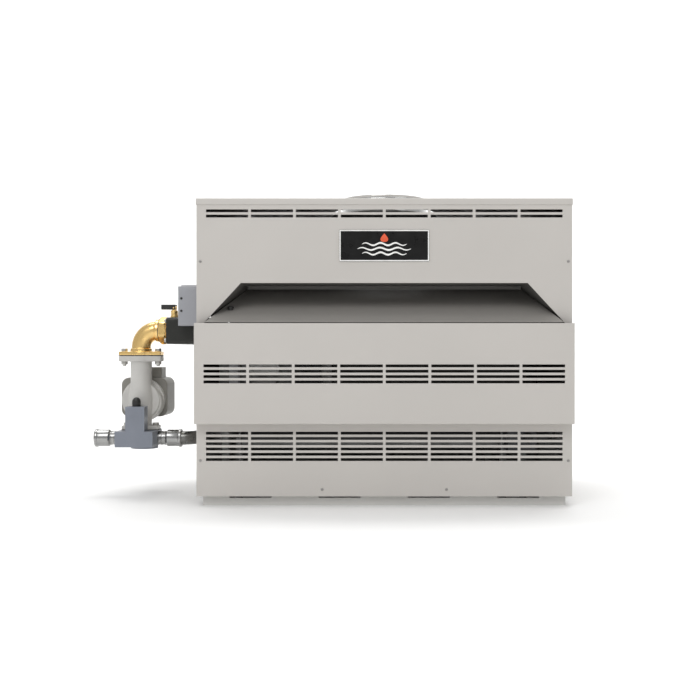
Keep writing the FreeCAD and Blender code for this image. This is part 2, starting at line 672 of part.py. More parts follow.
def make_header_gasket(left_x, spans):
    plate = box((left_x, HEADER_FRONT_Y, header_low), (left_x + GASKET, header_back_y, header_high))
    return cut(plate, [box((left_x - 1, y_low, header_low + HEADER_WALL),
                           (left_x + GASKET + 1, y_high, header_high - HEADER_WALL))
                       for y_low, y_high in spans])


def make_water_header():
    """The inlet and outlet header, with a wall between its two chambers."""
    shell = rounded_box((HEADER_LEFT_X, HEADER_FRONT_Y, header_low),
                        (header_right_x, header_back_y, header_high), 9.0, "x")
    chambers = [box((HEADER_LEFT_X + HEADER_WALL, y_low, header_low + HEADER_WALL),
                    (header_right_x + 1, y_high, header_high - HEADER_WALL))
                for y_low, y_high in chamber_spans()]
    inlet = rod((HEADER_LEFT_X - 1, PUMP_Y, ELBOW_Z), (HEADER_LEFT_X + HEADER_WALL + 1, PUMP_Y, ELBOW_Z),
                WATER_BORE)
    boss = rod((RETURN_X, RETURN_BACK_Y, header_low - 24), (RETURN_X, RETURN_BACK_Y, header_low + 4),
               RETURN_BOSS_R)
    socket = rod((RETURN_X, RETURN_BACK_Y, header_low - 25), (RETURN_X, RETURN_BACK_Y, header_low - 2),
                 WATER_TUBE_R)
    port = rod((RETURN_X, RETURN_BACK_Y, header_low - 3), (RETURN_X, RETURN_BACK_Y, header_low + 12),
               WATER_TUBE_R - 2)
    valve_hole = rod((RELIEF_X, RELIEF_Y, header_high - HEADER_WALL - 1),
                     (RELIEF_X, RELIEF_Y, header_high + 1), RELIEF_TAIL_RADIUS + 0.1)
    return cut(fuse([shell, boss]), chambers + [inlet, socket, port, valve_hole])


def make_return_header():
    shell = rounded_box((return_left_x, HEADER_FRONT_Y, header_low),
                        (return_right_x, header_back_y, header_high), 9.0, "x")
    chamber = box((return_left_x - 1, HEADER_FRONT_Y + HEADER_WALL, header_low + HEADER_WALL),
                  (return_right_x - HEADER_WALL, header_back_y - HEADER_WALL, header_high - HEADER_WALL))
    return shell.cut(chamber)


fin_left_x = tube_left_x + TUBE_SHEET_THICK + FIN_END_GAP + 20
fin_right_x = sheet_right_x - TUBE_SHEET_THICK - FIN_END_GAP


def make_finned_tubes():
    """Copper tubes through both tube sheets, each with its fins as one sleeve."""
    solids = []
    for y in tube_places():
        tube = rod((tube_left_x, y, EXCHANGER_Z), (sheet_right_x, y, EXCHANGER_Z), TUBE_RADIUS)
        fins = rod((fin_left_x, y, EXCHANGER_Z), (fin_right_x, y, EXCHANGER_Z), FIN_RADIUS)
        bore = rod((tube_left_x - 1, y, EXCHANGER_Z), (sheet_right_x + 1, y, EXCHANGER_Z),
                   TUBE_RADIUS - TUBE_WALL)
        solids.append(fuse([tube, fins]).cut(bore))
    return Part.makeCompound(solids)


def make_flue_baffles():
    """V-shaped strips that rest between the finned tubes and keep the gas against the fins."""
    places = tube_places()
    left = fin_left_x
    right = fin_right_x
    solids = []
    for a, b in zip(places[:-1], places[1:]):
        y = (a + b) / 2
        z = EXCHANGER_Z + FIN_RADIUS * math.sqrt(2) - TUBE_PITCH / 2
        reach = 16.0
        outline = [(left, y, z), (left, y + reach, z + reach), (left, y + reach, z + reach + 2),
                   (left, y, z + 2), (left, y - reach, z + reach + 2), (left, y - reach, z + reach)]
        solids.append(prism(outline, (right - left, 0, 0)))
    return Part.makeCompound(solids)


def make_header_bolts():
    """Bolt heads on the outer faces of both headers, in two rows."""
    solids = []
    for y, z in header_bolt_places():
        for x, way in ((HEADER_LEFT_X, -1), (return_right_x, 1)):
            solids.append(hexagon((x, y, z), (way, 0, 0), HEADER_BOLT_RADIUS * 1.6, 5.0))
    return Part.makeCompound(solids)


# ---- combustion chamber ----
chamber_half_w = HALF_W - CHAMBER_SIDE_INSET
chamber_top = EXCHANGER_Z - FIN_RADIUS - 5


def make_refractory_panels():
    """Four insulating boards around the flame."""
    right_x = chamber_half_w - RETURN_HEADER_DEPTH
    low_y = CHAMBER_FRONT_Y + REFRACTORY
    high_y = CHAMBER_BACK_Y - REFRACTORY
    front = box((-chamber_half_w, CHAMBER_FRONT_Y, CHAMBER_BOTTOM), (right_x, low_y, chamber_top))
    rear = box((-chamber_half_w, high_y, CHAMBER_BOTTOM), (right_x, CHAMBER_BACK_Y, chamber_top))
    left = box((-chamber_half_w, low_y, CHAMBER_BOTTOM),
               (REFRACTORY - chamber_half_w, high_y, chamber_top))
    right = box((right_x - REFRACTORY, low_y, CHAMBER_BOTTOM), (right_x, high_y, chamber_top))
    return Part.makeCompound([front, rear, left, right])


def make_chamber_frame():
    """Steel deck under the refractory, on four legs that stand in the base pan."""
    right_x = chamber_half_w - RETURN_HEADER_DEPTH
    deck = box((-chamber_half_w - 4, CHAMBER_FRONT_Y - 4, CHAMBER_BOTTOM - 3),
               (right_x + 4, CHAMBER_BACK_Y + 4, CHAMBER_BOTTOM))
    window = box((REFRACTORY - chamber_half_w, CHAMBER_FRONT_Y + REFRACTORY, CHAMBER_BOTTOM - 4),
                 (right_x - REFRACTORY, CHAMBER_BACK_Y - REFRACTORY, CHAMBER_BOTTOM + 1))
    legs = []
    for x in (-chamber_half_w - 4, right_x + 4 - FLANGE):
        for y in (CHAMBER_FRONT_Y - 4, CHAMBER_BACK_Y + 4 - FLANGE):
            post = box((x, y, SHEET), (x + FLANGE, y + FLANGE, CHAMBER_BOTTOM - 3))
            legs.append(post)
    return fuse([deck.cut(window)] + legs)


# ---- burners and gas ----
def burner_places():
    middle = (MANIFOLD_LEFT_X + MANIFOLD_RIGHT_X) / 2
    return [middle + (i - (BURNER_COUNT - 1) / 2) * BURNER_PITCH for i in range(BURNER_COUNT)]


def make_burner_tray():
    low_x = MANIFOLD_LEFT_X - 20
    high_x = MANIFOLD_RIGHT_X + 20
    low_y = CHAMBER_FRONT_Y + REFRACTORY + 2
    high_y = low_y + BURNER_LENGTH + 8
    outer = box((low_x, low_y, BURNER_TRAY_BOTTOM), (high_x, high_y, BURNER_Z - BURNER_HEIGHT / 2 + 6))
    inner = box((low_x + SHEET, low_y + SHEET, BURNER_TRAY_BOTTOM + SHEET),
                (high_x - SHEET, high_y - SHEET, BURNER_Z + BURNER_HEIGHT))
    feet = []
    for x in (low_x, high_x - FLANGE):
        for y in (low_y, high_y - FLANGE):
            feet.append(box((x, y, SHEET), (x + FLANGE, y + FLANGE, BURNER_TRAY_BOTTOM)))
    return fuse([outer.cut(inner)] + feet)


def make_burners():
    solids = []
    low_y = CHAMBER_FRONT_Y + REFRACTORY + 2 + 4
    low_z = BURNER_TRAY_BOTTOM + SHEET
    high_z = BURNER_Z + BURNER_HEIGHT / 2
    for x in burner_places():
        bar = rounded_box((x - BURNER_WIDTH / 2, low_y, low_z),
                          (x + BURNER_WIDTH / 2, low_y + BURNER_LENGTH, high_z), 9.0, "y")
        throat = rod((x, low_y - 1, BURNER_Z), (x, low_y + 60, BURNER_Z), 9.0)
        solids.append(bar.cut(throat))
    return Part.makeCompound(solids)


def make_gas_manifold():
    body = rod((MANIFOLD_LEFT_X + 4, MANIFOLD_Y, BURNER_Z), (MANIFOLD_RIGHT_X - 4, MANIFOLD_Y, BURNER_Z),
               MANIFOLD_RADIUS)
    core = rod((MANIFOLD_LEFT_X + 8, MANIFOLD_Y, BURNER_Z), (MANIFOLD_RIGHT_X - 3, MANIFOLD_Y, BURNER_Z),
               MANIFOLD_RADIUS - 3)
    holes = [rod((x, MANIFOLD_Y, BURNER_Z), (x, MANIFOLD_Y + MANIFOLD_RADIUS + 1, BURNER_Z), 4.0)
             for x in burner_places()]
    return cut(body, [core] + holes)


def make_manifold_brackets():
    solids = []
    for x in (MANIFOLD_LEFT_X, MANIFOLD_RIGHT_X - 4):
        strip = box((x, MANIFOLD_Y - MANIFOLD_RADIUS - 5, SHEET),
                    (x + 4, MANIFOLD_Y + MANIFOLD_RADIUS + 5, BURNER_Z + MANIFOLD_RADIUS + 8))
        if x > 0:
            strip = strip.cut(rod((x - 1, MANIFOLD_Y, BURNER_Z), (x + 5, MANIFOLD_Y, BURNER_Z),
                                  GAS_PIPE_RADIUS + 0.1))
        solids.append(strip)
    return Part.makeCompound(solids)


def make_orifices():
    solids = []
    for x in burner_places():
        start = MANIFOLD_Y + MANIFOLD_RADIUS - 3
        stem = rod((x, start, BURNER_Z), (x, start + 8, BURNER_Z), 4.0)
        head = hexagon((x, start + 4, BURNER_Z), (0, 1, 0), 8.0, 6.0)
        nose = spin([(0, 0), (12, 0), (12, 3), (0, 5.5)], (x, start + 10, BURNER_Z), (0, 1, 0))
        bore = rod((x, start - 1, BURNER_Z), (x, start + 23, BURNER_Z), 1.2)
        solids.append(fuse([stem, head, nose]).cut(bore))
    return Part.makeCompound(solids)


valve_left = MANIFOLD_RIGHT_X + 12
valve_right = valve_left + 84
valve_front = MANIFOLD_Y - 30
valve_top = BURNER_Z + 34
gas_riser_x = HALF_W - 50.0


def make_gas_valve():
    body = rounded_box((valve_left, valve_front, BURNER_Z - 34), (valve_right, MANIFOLD_Y + 30, valve_top),
                       6.0, "z")
    dome = rod((valve_left + 26, MANIFOLD_Y, valve_top), (valve_left + 26, MANIFOLD_Y, valve_top + 14), 18.0)
    outlet = rod((MANIFOLD_RIGHT_X - 4, MANIFOLD_Y, BURNER_Z), (valve_left, MANIFOLD_Y, BURNER_Z),
                 GAS_PIPE_RADIUS)
    way = rod((MANIFOLD_RIGHT_X - 5, MANIFOLD_Y, BURNER_Z), (valve_right + 1, MANIFOLD_Y, BURNER_Z), 9.0)
    stem = rod((valve_left + 58, valve_front - 1, BURNER_Z), (valve_left + 58, valve_front + 14, BURNER_Z),
               5.0 + RUNNING_GAP)
    return fuse([body, dome, outlet]).cut(Part.makeCompound([way, stem]))


def make_gas_valve_knob():
    x = valve_left + 58
    front = valve_front - 12
    disc = spin([(0, 0), (11, 0), (11, 12), (9.5, 14), (2, 15), (0, 15)], (x, valve_front - 0.6, BURNER_Z),
                (0, -1, 0))
    grip = box((x - 3, front - 6, BURNER_Z - 12), (x + 3, front + 2, BURNER_Z + 12))
    stem = rod((x, valve_front - 1, BURNER_Z), (x, valve_front + 13, BURNER_Z), 5.0)
    return fuse([disc, grip, stem])


def make_gas_pipe():
    bend = 22.0
    z_low = BURNER_Z
    z_high = GAS_INLET_Z
    x = gas_riser_x
    y = MANIFOLD_Y
    d = bend * math.sqrt(0.5)
    runs = [
        Part.LineSegment(V(valve_right, y, z_low), V(x - bend, y, z_low)).toShape(),
        Part.Arc(V(x - bend, y, z_low), V(x - bend + d, y, z_low + bend - d),
                 V(x, y, z_low + bend)).toShape(),
        Part.LineSegment(V(x, y, z_low + bend), V(x, y, z_high - bend)).toShape(),
        Part.Arc(V(x, y, z_high - bend), V(x + bend - d, y, z_high - bend + d),
                 V(x + bend, y, z_high)).toShape(),
    ]
    tube = arc_pipe(runs, GAS_PIPE_RADIUS)
    return tube.cut(arc_pipe(runs, GAS_PIPE_RADIUS - 2.5))


def make_gas_inlet():
    """Pipe coupling that the site's gas line screws into, behind a hole in the right jacket."""
    start = gas_riser_x + 22.0
    end = start + GAS_COUPLING_LENGTH
    body = hexagon((start, MANIFOLD_Y, GAS_INLET_Z), (1, 0, 0), GAS_COUPLING_RADIUS, end - start)
    return body.cut(rod((start - 1, MANIFOLD_Y, GAS_INLET_Z), (end + 1, MANIFOLD_Y, GAS_INLET_Z),
                        GAS_BORE_RADIUS))


def make_igniter():
    x = burner_places()[1] - BURNER_PITCH / 2
    y = CHAMBER_FRONT_Y + REFRACTORY + 30
    z = BURNER_Z + BURNER_HEIGHT / 2
    plug = rod((x, y, BURNER_TRAY_BOTTOM + SHEET), (x, y, z + 4), 5.0)
    tip = box((x - 3, y - 1.5, z + 4), (x + 3, y + 1.5, z + 30))
    return fuse([plug, tip])


# ---- controls behind the door ----
PLATE_Y = CHAMBER_FRONT_Y - 10.0
PLATE_LEFT = 50.0 - HALF_W
PLATE_RIGHT = PLATE_LEFT + 320.0
PLATE_BOTTOM = 262.0
PLATE_TOP = 440.0
PLATE_FACE = PLATE_Y - SHEET
BRACKET_X = PLATE_LEFT + 35.0
BRACKET_WIDTH = 25.0
BRACKET_REACH = 46.0
BRACKET_BOTTOM = 318.0
BRACKET_TOP = 432.0
MODULE_X = PLATE_LEFT + 95.0
MODULE_SIZE = (80.0, 44.0, 50.0)
MODULE_BOTTOM = 362.0
MODULE_STANDOFF = 8.0
MODULE_FOOT_INSET = 6.0
CORE_X = PLATE_LEFT + 98.0
CORE_SIZE = (68.0, 40.0, 50.0)
CORE_BOTTOM = 296.0
COIL_INSET = 14.0
COIL_PROUD = 8.0
DIAL_X = PLATE_LEFT + 250.0
DIAL_Z = 388.0
DIAL_STEM_RADIUS = 3.0
DIAL_RADIUS = 15.5
CONTROLLER_HALF_WIDTH = 42.0
CONTROLLER_DEPTH = 34.0
CONTROLLER_BOTTOM = 290.0
CONTROLLER_TOP = 420.0
ROCKER_Z = 317.0
ROCKER_WIDTH = 28.0
ROCKER_PIVOT_OUT = 20.0
ROCKER_PIN_RADIUS = 2.0
ROCKER_PIN_REACH = 4.0
ROCKER_TIP = 8.0            # tilt either side of level


def make_control_plate():
    plate = box((PLATE_LEFT, PLATE_FACE, PLATE_BOTTOM), (PLATE_RIGHT, PLATE_Y, PLATE_TOP))
    tab = box((PLATE_LEFT, PLATE_Y, PLATE_BOTTOM), (PLATE_LEFT + SHEET, CHAMBER_FRONT_Y, PLATE_TOP))
    far_tab = box((PLATE_RIGHT - SHEET, PLATE_Y, PLATE_BOTTOM), (PLATE_RIGHT, CHAMBER_FRONT_Y, PLATE_TOP))
    return fuse([plate, tab, far_tab])


def make_control_bracket():
    """Z-shaped bracket at the left of the control plate."""
    right = BRACKET_X + BRACKET_WIDTH
    front = PLATE_FACE - BRACKET_REACH
    foot = box((BRACKET_X, PLATE_FACE - SHEET, BRACKET_BOTTOM), (right, PLATE_FACE, BRACKET_TOP))
    web = box((BRACKET_X, front, BRACKET_BOTTOM), (BRACKET_X + SHEET, PLATE_FACE, BRACKET_TOP))
    nose = box((BRACKET_X, front, BRACKET_BOTTOM), (right, front + SHEET, BRACKET_TOP))
    return fuse([foot, web, nose])


def make_ignition_module():
    wide, deep, tall = MODULE_SIZE
    back = PLATE_FACE - MODULE_STANDOFF
    body = rounded_box((MODULE_X, back - deep, MODULE_BOTTOM),
                       (MODULE_X + wide, back, MODULE_BOTTOM + tall), 2.5, "y")
    feet = [rod((x, back - 1, z), (x, PLATE_FACE, z), 4.0)
            for x in (MODULE_X + MODULE_FOOT_INSET, MODULE_X + wide - MODULE_FOOT_INSET)
            for z in (MODULE_BOTTOM + MODULE_FOOT_INSET, MODULE_BOTTOM + tall - MODULE_FOOT_INSET)]
    return fuse([body] + feet)


def make_transformer():
    wide, deep, tall = CORE_SIZE
    core = box((CORE_X, PLATE_FACE - deep, CORE_BOTTOM), (CORE_X + wide, PLATE_FACE, CORE_BOTTOM + tall))
    coil = rounded_box((CORE_X + COIL_INSET, PLATE_FACE - deep - COIL_PROUD, CORE_BOTTOM + 6),
                       (CORE_X + wide - COIL_INSET, PLATE_FACE, CORE_BOTTOM + tall - 6), 5.0, "y")
    return fuse([core, coil])


def make_temperature_controller():
    front = PLATE_FACE - CONTROLLER_DEPTH
    body = rounded_box((DIAL_X - CONTROLLER_HALF_WIDTH, front, CONTROLLER_BOTTOM),
                       (DIAL_X + CONTROLLER_HALF_WIDTH, PLATE_FACE, CONTROLLER_TOP), 4.0, "y")
    shaft = rod((DIAL_X, front - 1, DIAL_Z), (DIAL_X, front + 16, DIAL_Z), DIAL_STEM_RADIUS + RUNNING_GAP)
    half = ROCKER_WIDTH / 2
    well = box((DIAL_X - half - 1, front - 1, ROCKER_Z - 12),
               (DIAL_X + half + 1, PLATE_FACE - 12, ROCKER_Z + 12))
    pin_y = PLATE_FACE - ROCKER_PIVOT_OUT
    reach = half + ROCKER_PIN_REACH + 0.5
    pin = rod((DIAL_X - reach, pin_y, ROCKER_Z), (DIAL_X + reach, pin_y, ROCKER_Z),
              ROCKER_PIN_RADIUS + RUNNING_GAP)
    return cut(body, [shaft, well, pin])


def make_temperature_knob():
    face = PLATE_FACE - CONTROLLER_DEPTH
    disc = spin([(0, 0), (14, 0), (14, DIAL_RADIUS - 1.5), (12.5, DIAL_RADIUS), (2, DIAL_RADIUS + 1.5),
                 (0, DIAL_RADIUS + 1.5)], (DIAL_X, face - 0.6, DIAL_Z), (0, -1, 0))
    stem = rod((DIAL_X, face - 1, DIAL_Z), (DIAL_X, face + 15, DIAL_Z), DIAL_STEM_RADIUS)
    notch = box((DIAL_X - 1, face - 16, DIAL_Z + 8), (DIAL_X + 1, face - 12, DIAL_Z + 18))
    return fuse([disc, stem]).cut(notch)


def make_power_rocker():
    """Rocker on a pin across its well in the controller."""
    pivot = V(DIAL_X - ROCKER_WIDTH / 2, PLATE_FACE - ROCKER_PIVOT_OUT, ROCKER_Z)
    half = [(6, 3), (-12, 9), (-19, 9.5), (-16, 0)]
    outline = half + [(y, -z) for y, z in reversed(half[:-1])]
    body = prism([(pivot.x, pivot.y + y, pivot.z + z) for y, z in outline], (ROCKER_WIDTH, 0, 0))
    pin = rod((pivot.x - ROCKER_PIN_REACH, pivot.y, pivot.z),
              (pivot.x + ROCKER_WIDTH + ROCKER_PIN_REACH, pivot.y, pivot.z), ROCKER_PIN_RADIUS)
    rocker = fuse([body, pin])
    rocker.rotate(pivot, V(1, 0, 0), -ROCKER_TIP)
    return rocker


# ---- wiring box on the left side ----
def make_wiring_box():
    right = -HALF_W - WIRING_WALL_GAP
    back = WIRING_FRONT_Y + WIRING_DEPTH
    outer = box((WIRING_LEFT_X, WIRING_FRONT_Y + SHEET, WIRING_BOTTOM), (right, back, WIRING_TOP))
    inner = box((WIRING_LEFT_X + SHEET, WIRING_FRONT_Y, WIRING_BOTTOM + SHEET),
                (right - SHEET, back - SHEET, WIRING_TOP - SHEET))
    conduit_x = (WIRING_LEFT_X + right) / 2
    conduit_y = WIRING_FRONT_Y + WIRING_DEPTH / 2
    knockout = rod((conduit_x, conduit_y, WIRING_TOP - SHEET - 1), (conduit_x, conduit_y, WIRING_TOP + 1),
                   11.1)
    return cut(outer, [inner, knockout])


def make_wiring_cover():
    right = -HALF_W - WIRING_WALL_GAP
    plate = box((WIRING_LEFT_X, WIRING_FRONT_Y, WIRING_BOTTOM), (right, WIRING_FRONT_Y + SHEET, WIRING_TOP))
    holes = []
    for z in WIRING_SCREW_Z:
        holes.append(rod((WIRING_LEFT_X + 9, WIRING_FRONT_Y - 1, z),
                         (WIRING_LEFT_X + 9, WIRING_FRONT_Y + SHEET + 1, z), 2.0))
    return cut(plate, holes)


def make_wiring_bracket():
    """Backing plate that holds the wiring box off the left jacket, with an ear above the box."""
    right = -HALF_W
    left = right - WIRING_WALL_GAP
    back = WIRING_FRONT_Y + WIRING_DEPTH
    web = box((left, back - WIRING_WEB, WIRING_BOTTOM + WIRING_WEB), (right, back, WIRING_TOP - 4))
    ear = box((WIRING_LEFT_X, back, WIRING_TOP - 30), (right, back + 2, WIRING_TOP + WIRING_EAR))
    return fuse([web, ear])


# ---- relief valve ----
def make_relief_valve():
    z = header_high
    tail = RELIEF_TAIL_RADIUS
    profile = [(1 - HEADER_WALL, 0), (1 - HEADER_WALL, tail), (0, tail), (0, 11), (5, 11), (5, 9.2),
               (16, 9.2), (16, 10), (20, 10), (20, 0)]
    body = spin(profile, (RELIEF_X, RELIEF_Y, z), (0, 0, 1))
    outlet = rod((RELIEF_X, RELIEF_Y + 1, z + 11), (RELIEF_X, RELIEF_Y + 34, z + 11), 8.0)
    flow = rod((RELIEF_X, RELIEF_Y + 10, z + 11), (RELIEF_X, RELIEF_Y + 35, z + 11), 6.0)
    ears = []
    for side in (-1, 1):
        y = RELIEF_Y + side * 7.0
        ears.append(box((RELIEF_X - 5, y - 1.5, z + 18), (RELIEF_X + 5, y + 1.5, z + 33)))
    pin_z = z + RELIEF_PIN_RISE
    pin = rod((RELIEF_X, RELIEF_Y - RELIEF_LEVER_HALF, pin_z),
              (RELIEF_X, RELIEF_Y + RELIEF_LEVER_HALF, pin_z), RELIEF_PIN_RADIUS)
    return fuse([body, outlet] + ears + [pin]).cut(flow)


def make_relief_lever():
    """Lever whose two cheeks pass outside the valve's ears."""
    z = header_high + RELIEF_PIN_RISE
    half = RELIEF_LEVER_HALF
    arm = box((RELIEF_X - RELIEF_LEVER_REACH, RELIEF_Y - half, z - 5),
              (RELIEF_X + 5.5, RELIEF_Y + half, z + 9))
    fork = box((RELIEF_X - 8, RELIEF_Y - half + 2, z - 6), (RELIEF_X + 7, RELIEF_Y + half - 2, z + 10))
    pin = rod((RELIEF_X, RELIEF_Y - half - 1, z), (RELIEF_X, RELIEF_Y + half + 1, z),
              RELIEF_PIN_RADIUS + RUNNING_GAP)
    return cut(arm, [fork, pin])


# ---- elbow, pump and flanges ----
elbow_end_x = PUMP_X + ELBOW_BEND + 6.7


def oblong_flange(low, high, length=FLANGE_LENGTH, bolt_x=FLANGE_BOLT_X):
    """A two-bolt flange with rounded ends, square-cut at its tips."""
    middle = rod((PUMP_X, PUMP_Y, low), (PUMP_X, PUMP_Y, high), FLANGE_DEPTH / 2)
    tips = []
    for side in (-1, 1):
        outline = [(PUMP_X, PUMP_Y - FLANGE_DEPTH / 2, low), (PUMP_X, PUMP_Y + FLANGE_DEPTH / 2, low),
                   (PUMP_X + side * length / 2, PUMP_Y + FLANGE_TIP, low),
                   (PUMP_X + side * length / 2, PUMP_Y - FLANGE_TIP, low)]
        tips.append(prism(outline, (0, 0, high - low)))
    plate = fuse([middle] + tips)
    holes = [rod((PUMP_X + side * bolt_x, PUMP_Y, low - 1),
                 (PUMP_X + side * bolt_x, PUMP_Y, high + 1), FLANGE_BOLT_RADIUS + 0.5)
             for side in (-1, 1)]
    return cut(plate, holes)


def elbow_runs(start_z):
    bend_z = ELBOW_Z - ELBOW_BEND
    d = ELBOW_BEND * math.sqrt(0.5)
    return [
        Part.LineSegment(V(PUMP_X, PUMP_Y, start_z), V(PUMP_X, PUMP_Y, bend_z)).toShape(),
        Part.Arc(V(PUMP_X, PUMP_Y, bend_z), V(PUMP_X + ELBOW_BEND - d, PUMP_Y, bend_z + d),
                 V(PUMP_X + ELBOW_BEND, PUMP_Y, ELBOW_Z)).toShape(),
        Part.LineSegment(V(PUMP_X + ELBOW_BEND, PUMP_Y, ELBOW_Z), V(elbow_end_x, PUMP_Y, ELBOW_Z)).toShape(),
    ]


def make_brass_elbow():
    face = UPPER_FLANGE_FACE + GASKET / 2
    body = arc_pipe(elbow_runs(face), ELBOW_RADIUS)
    plate = oblong_flange(face, UPPER_FLANGE_TOP)
    foot = rod((PUMP_X, PUMP_Y, face), (PUMP_X, PUMP_Y, UPPER_FLANGE_TOP + 9), ELBOW_RADIUS + 3.5)
    band = rod((elbow_end_x - 11.9, PUMP_Y, ELBOW_Z), (elbow_end_x, PUMP_Y, ELBOW_Z), 33.3)
    bore = arc_pipe(elbow_runs(face), WATER_BORE)
    return fuse([body, plate, foot, band]).cut(bore)


def make_brass_union():
    nut = hexagon((elbow_end_x, PUMP_Y, ELBOW_Z), (1, 0, 0), UNION_RADIUS, 21.7)
    tail = rod((elbow_end_x + 21.7, PUMP_Y, ELBOW_Z), (HEADER_LEFT_X, PUMP_Y, ELBOW_Z), 31.0)
    bore = rod((elbow_end_x - 1, PUMP_Y, ELBOW_Z), (HEADER_LEFT_X + 1, PUMP_Y, ELBOW_Z), WATER_BORE)
    return fuse([nut, tail]).cut(bore)


def make_flange_gasket(low, high, length, bolt_x):
    way = rod((PUMP_X, PUMP_Y, low - 1), (PUMP_X, PUMP_Y, high + 1), WATER_BORE + 2)
    return oblong_flange(low, high, length, bolt_x).cut(way)


def make_flange_bolts():
    """Bolts and nuts of the upper flange pair, and the bolts of the lower one."""
    solids = []
    for side in (-1, 1):
        x = PUMP_X + side * FLANGE_BOLT_X
        shank = rod((x, PUMP_Y, UPPER_FLANGE_BOTTOM - 14), (x, PUMP_Y, UPPER_FLANGE_TOP + 4),
                    FLANGE_BOLT_RADIUS)
        head = hexagon((x, PUMP_Y, UPPER_FLANGE_TOP), (0, 0, 1), FLANGE_BOLT_HEAD, 9.0)
        nut = hexagon((x, PUMP_Y, UPPER_FLANGE_BOTTOM - 9), (0, 0, 1), FLANGE_BOLT_HEAD, 9.0)
        solids.append(fuse([shank, head, nut]))
        x = PUMP_X + side * LOWER_FLANGE_BOLT_X
        shank = rod((x, PUMP_Y, BYPASS_TOP - LOWER_BOLT_DEPTH), (x, PUMP_Y, LOWER_FLANGE_TOP + 2),
                    FLANGE_BOLT_RADIUS)
        head = hexagon((x, PUMP_Y, LOWER_FLANGE_TOP), (0, 0, 1), FLANGE_BOLT_HEAD, 8.0)
        solids.append(fuse([shank, head]))
    return Part.makeCompound(solids)


volute_front_y = PUMP_Y - VOLUTE_FRONT
volute_back_y = PUMP_Y + VOLUTE_BACK
chamber_front = volute_front_y + VOLUTE_WALL
motor_plate_y = volute_back_y + 5.0
motor_back_y = motor_plate_y + MOTOR_LENGTH


def make_pump_casing():
    top = UPPER_FLANGE_FACE - GASKET / 2
    low = BYPASS_TOP + GASKET
    stem = rod((PUMP_X, PUMP_Y, low), (PUMP_X, PUMP_Y, top), PUMP_PIPE_RADIUS)
    belly = spin([(-64, 0), (-64, PUMP_PIPE_RADIUS - 1), (-22, BELLY_RADIUS), (14, BELLY_RADIUS),
                  (62, PUMP_PIPE_RADIUS - 1), (62, 0)], (PUMP_X, PUMP_Y, VOLUTE_Z), (0, 0, 1))
    belly = belly.cut(box((PUMP_X - BELLY_RADIUS, volute_back_y, low),
                          (PUMP_X + BELLY_RADIUS, volute_back_y + BELLY_RADIUS, top)))
    volute = rod((PUMP_X, volute_front_y, VOLUTE_Z), (PUMP_X, volute_back_y, VOLUTE_Z), VOLUTE_RADIUS)
    scroll = rod((PUMP_X + SCROLL_OFFSET, volute_front_y + 5, VOLUTE_Z - SCROLL_OFFSET),
                 (PUMP_X + SCROLL_OFFSET, volute_back_y, VOLUTE_Z - SCROLL_OFFSET), VOLUTE_RADIUS)
    rim = rod((PUMP_X, volute_back_y - 12, VOLUTE_Z), (PUMP_X, volute_back_y, VOLUTE_Z),
              VOLUTE_RADIUS + MOTOR_RIM)
    body = fuse([stem, belly, volute, scroll, rim, oblong_flange(UPPER_FLANGE_BOTTOM, top),
                 oblong_flange(low, LOWER_FLANGE_TOP, LOWER_FLANGE_LENGTH, LOWER_FLANGE_BOLT_X)])
    tools = [rod((PUMP_X, chamber_front, VOLUTE_Z), (PUMP_X, volute_back_y + 1, VOLUTE_Z),
                 IMPELLER_RADIUS + IMPELLER_GAP),
             rod((PUMP_X, PUMP_Y, low - 1), (PUMP_X, PUMP_Y, top + 1), WATER_BORE)]
    return cut(body, tools)


def make_motor_plate():
    """Plate that closes the volute and carries the shaft's front bearing."""
    plate = rod((PUMP_X, volute_back_y, VOLUTE_Z), (PUMP_X, motor_plate_y, VOLUTE_Z),
                VOLUTE_RADIUS + MOTOR_RIM)
    return plate.cut(rod((PUMP_X, volute_back_y - 1, VOLUTE_Z), (PUMP_X, motor_plate_y + 1, VOLUTE_Z),
                         SHAFT_RADIUS + RUNNING_GAP))


def make_motor_housing():
    low = (PUMP_X - MOTOR_WIDTH / 2, motor_plate_y, VOLUTE_Z + 8 - MOTOR_HEIGHT / 2)
    high = (PUMP_X + MOTOR_WIDTH / 2, motor_back_y, VOLUTE_Z + 8 + MOTOR_HEIGHT / 2)
    shell = rounded_box(low, high, 22.0, "y")
    room = rod((PUMP_X, motor_plate_y - 1, VOLUTE_Z), (PUMP_X, motor_back_y - MOTOR_WALL, VOLUTE_Z), 46.0)
    tail = rod((PUMP_X, motor_back_y - MOTOR_WALL - 1, VOLUTE_Z), (PUMP_X, motor_back_y + 1, VOLUTE_Z),
               SHAFT_RADIUS + RUNNING_GAP)
    return cut(shell, [room, tail])


def make_motor_stator():
    return pipe((PUMP_X, motor_plate_y + 14, VOLUTE_Z), (PUMP_X, motor_back_y - MOTOR_WALL - 14, VOLUTE_Z),
                46.0, 30.5)


def make_terminal_box():
    low_z = VOLUTE_Z + 8 + MOTOR_HEIGHT / 2
    low = (PUMP_X - 22, motor_plate_y + 8, low_z)
    high = (PUMP_X + 50, motor_plate_y + 78, 380.0)
    shell = rounded_box(low, high, 5.0, "z")
    room = box((low[0] + 4, low[1] + 4, low_z + 3), (high[0] - 4, high[1] - 4, high[2] - 3))
    return shell.cut(room)


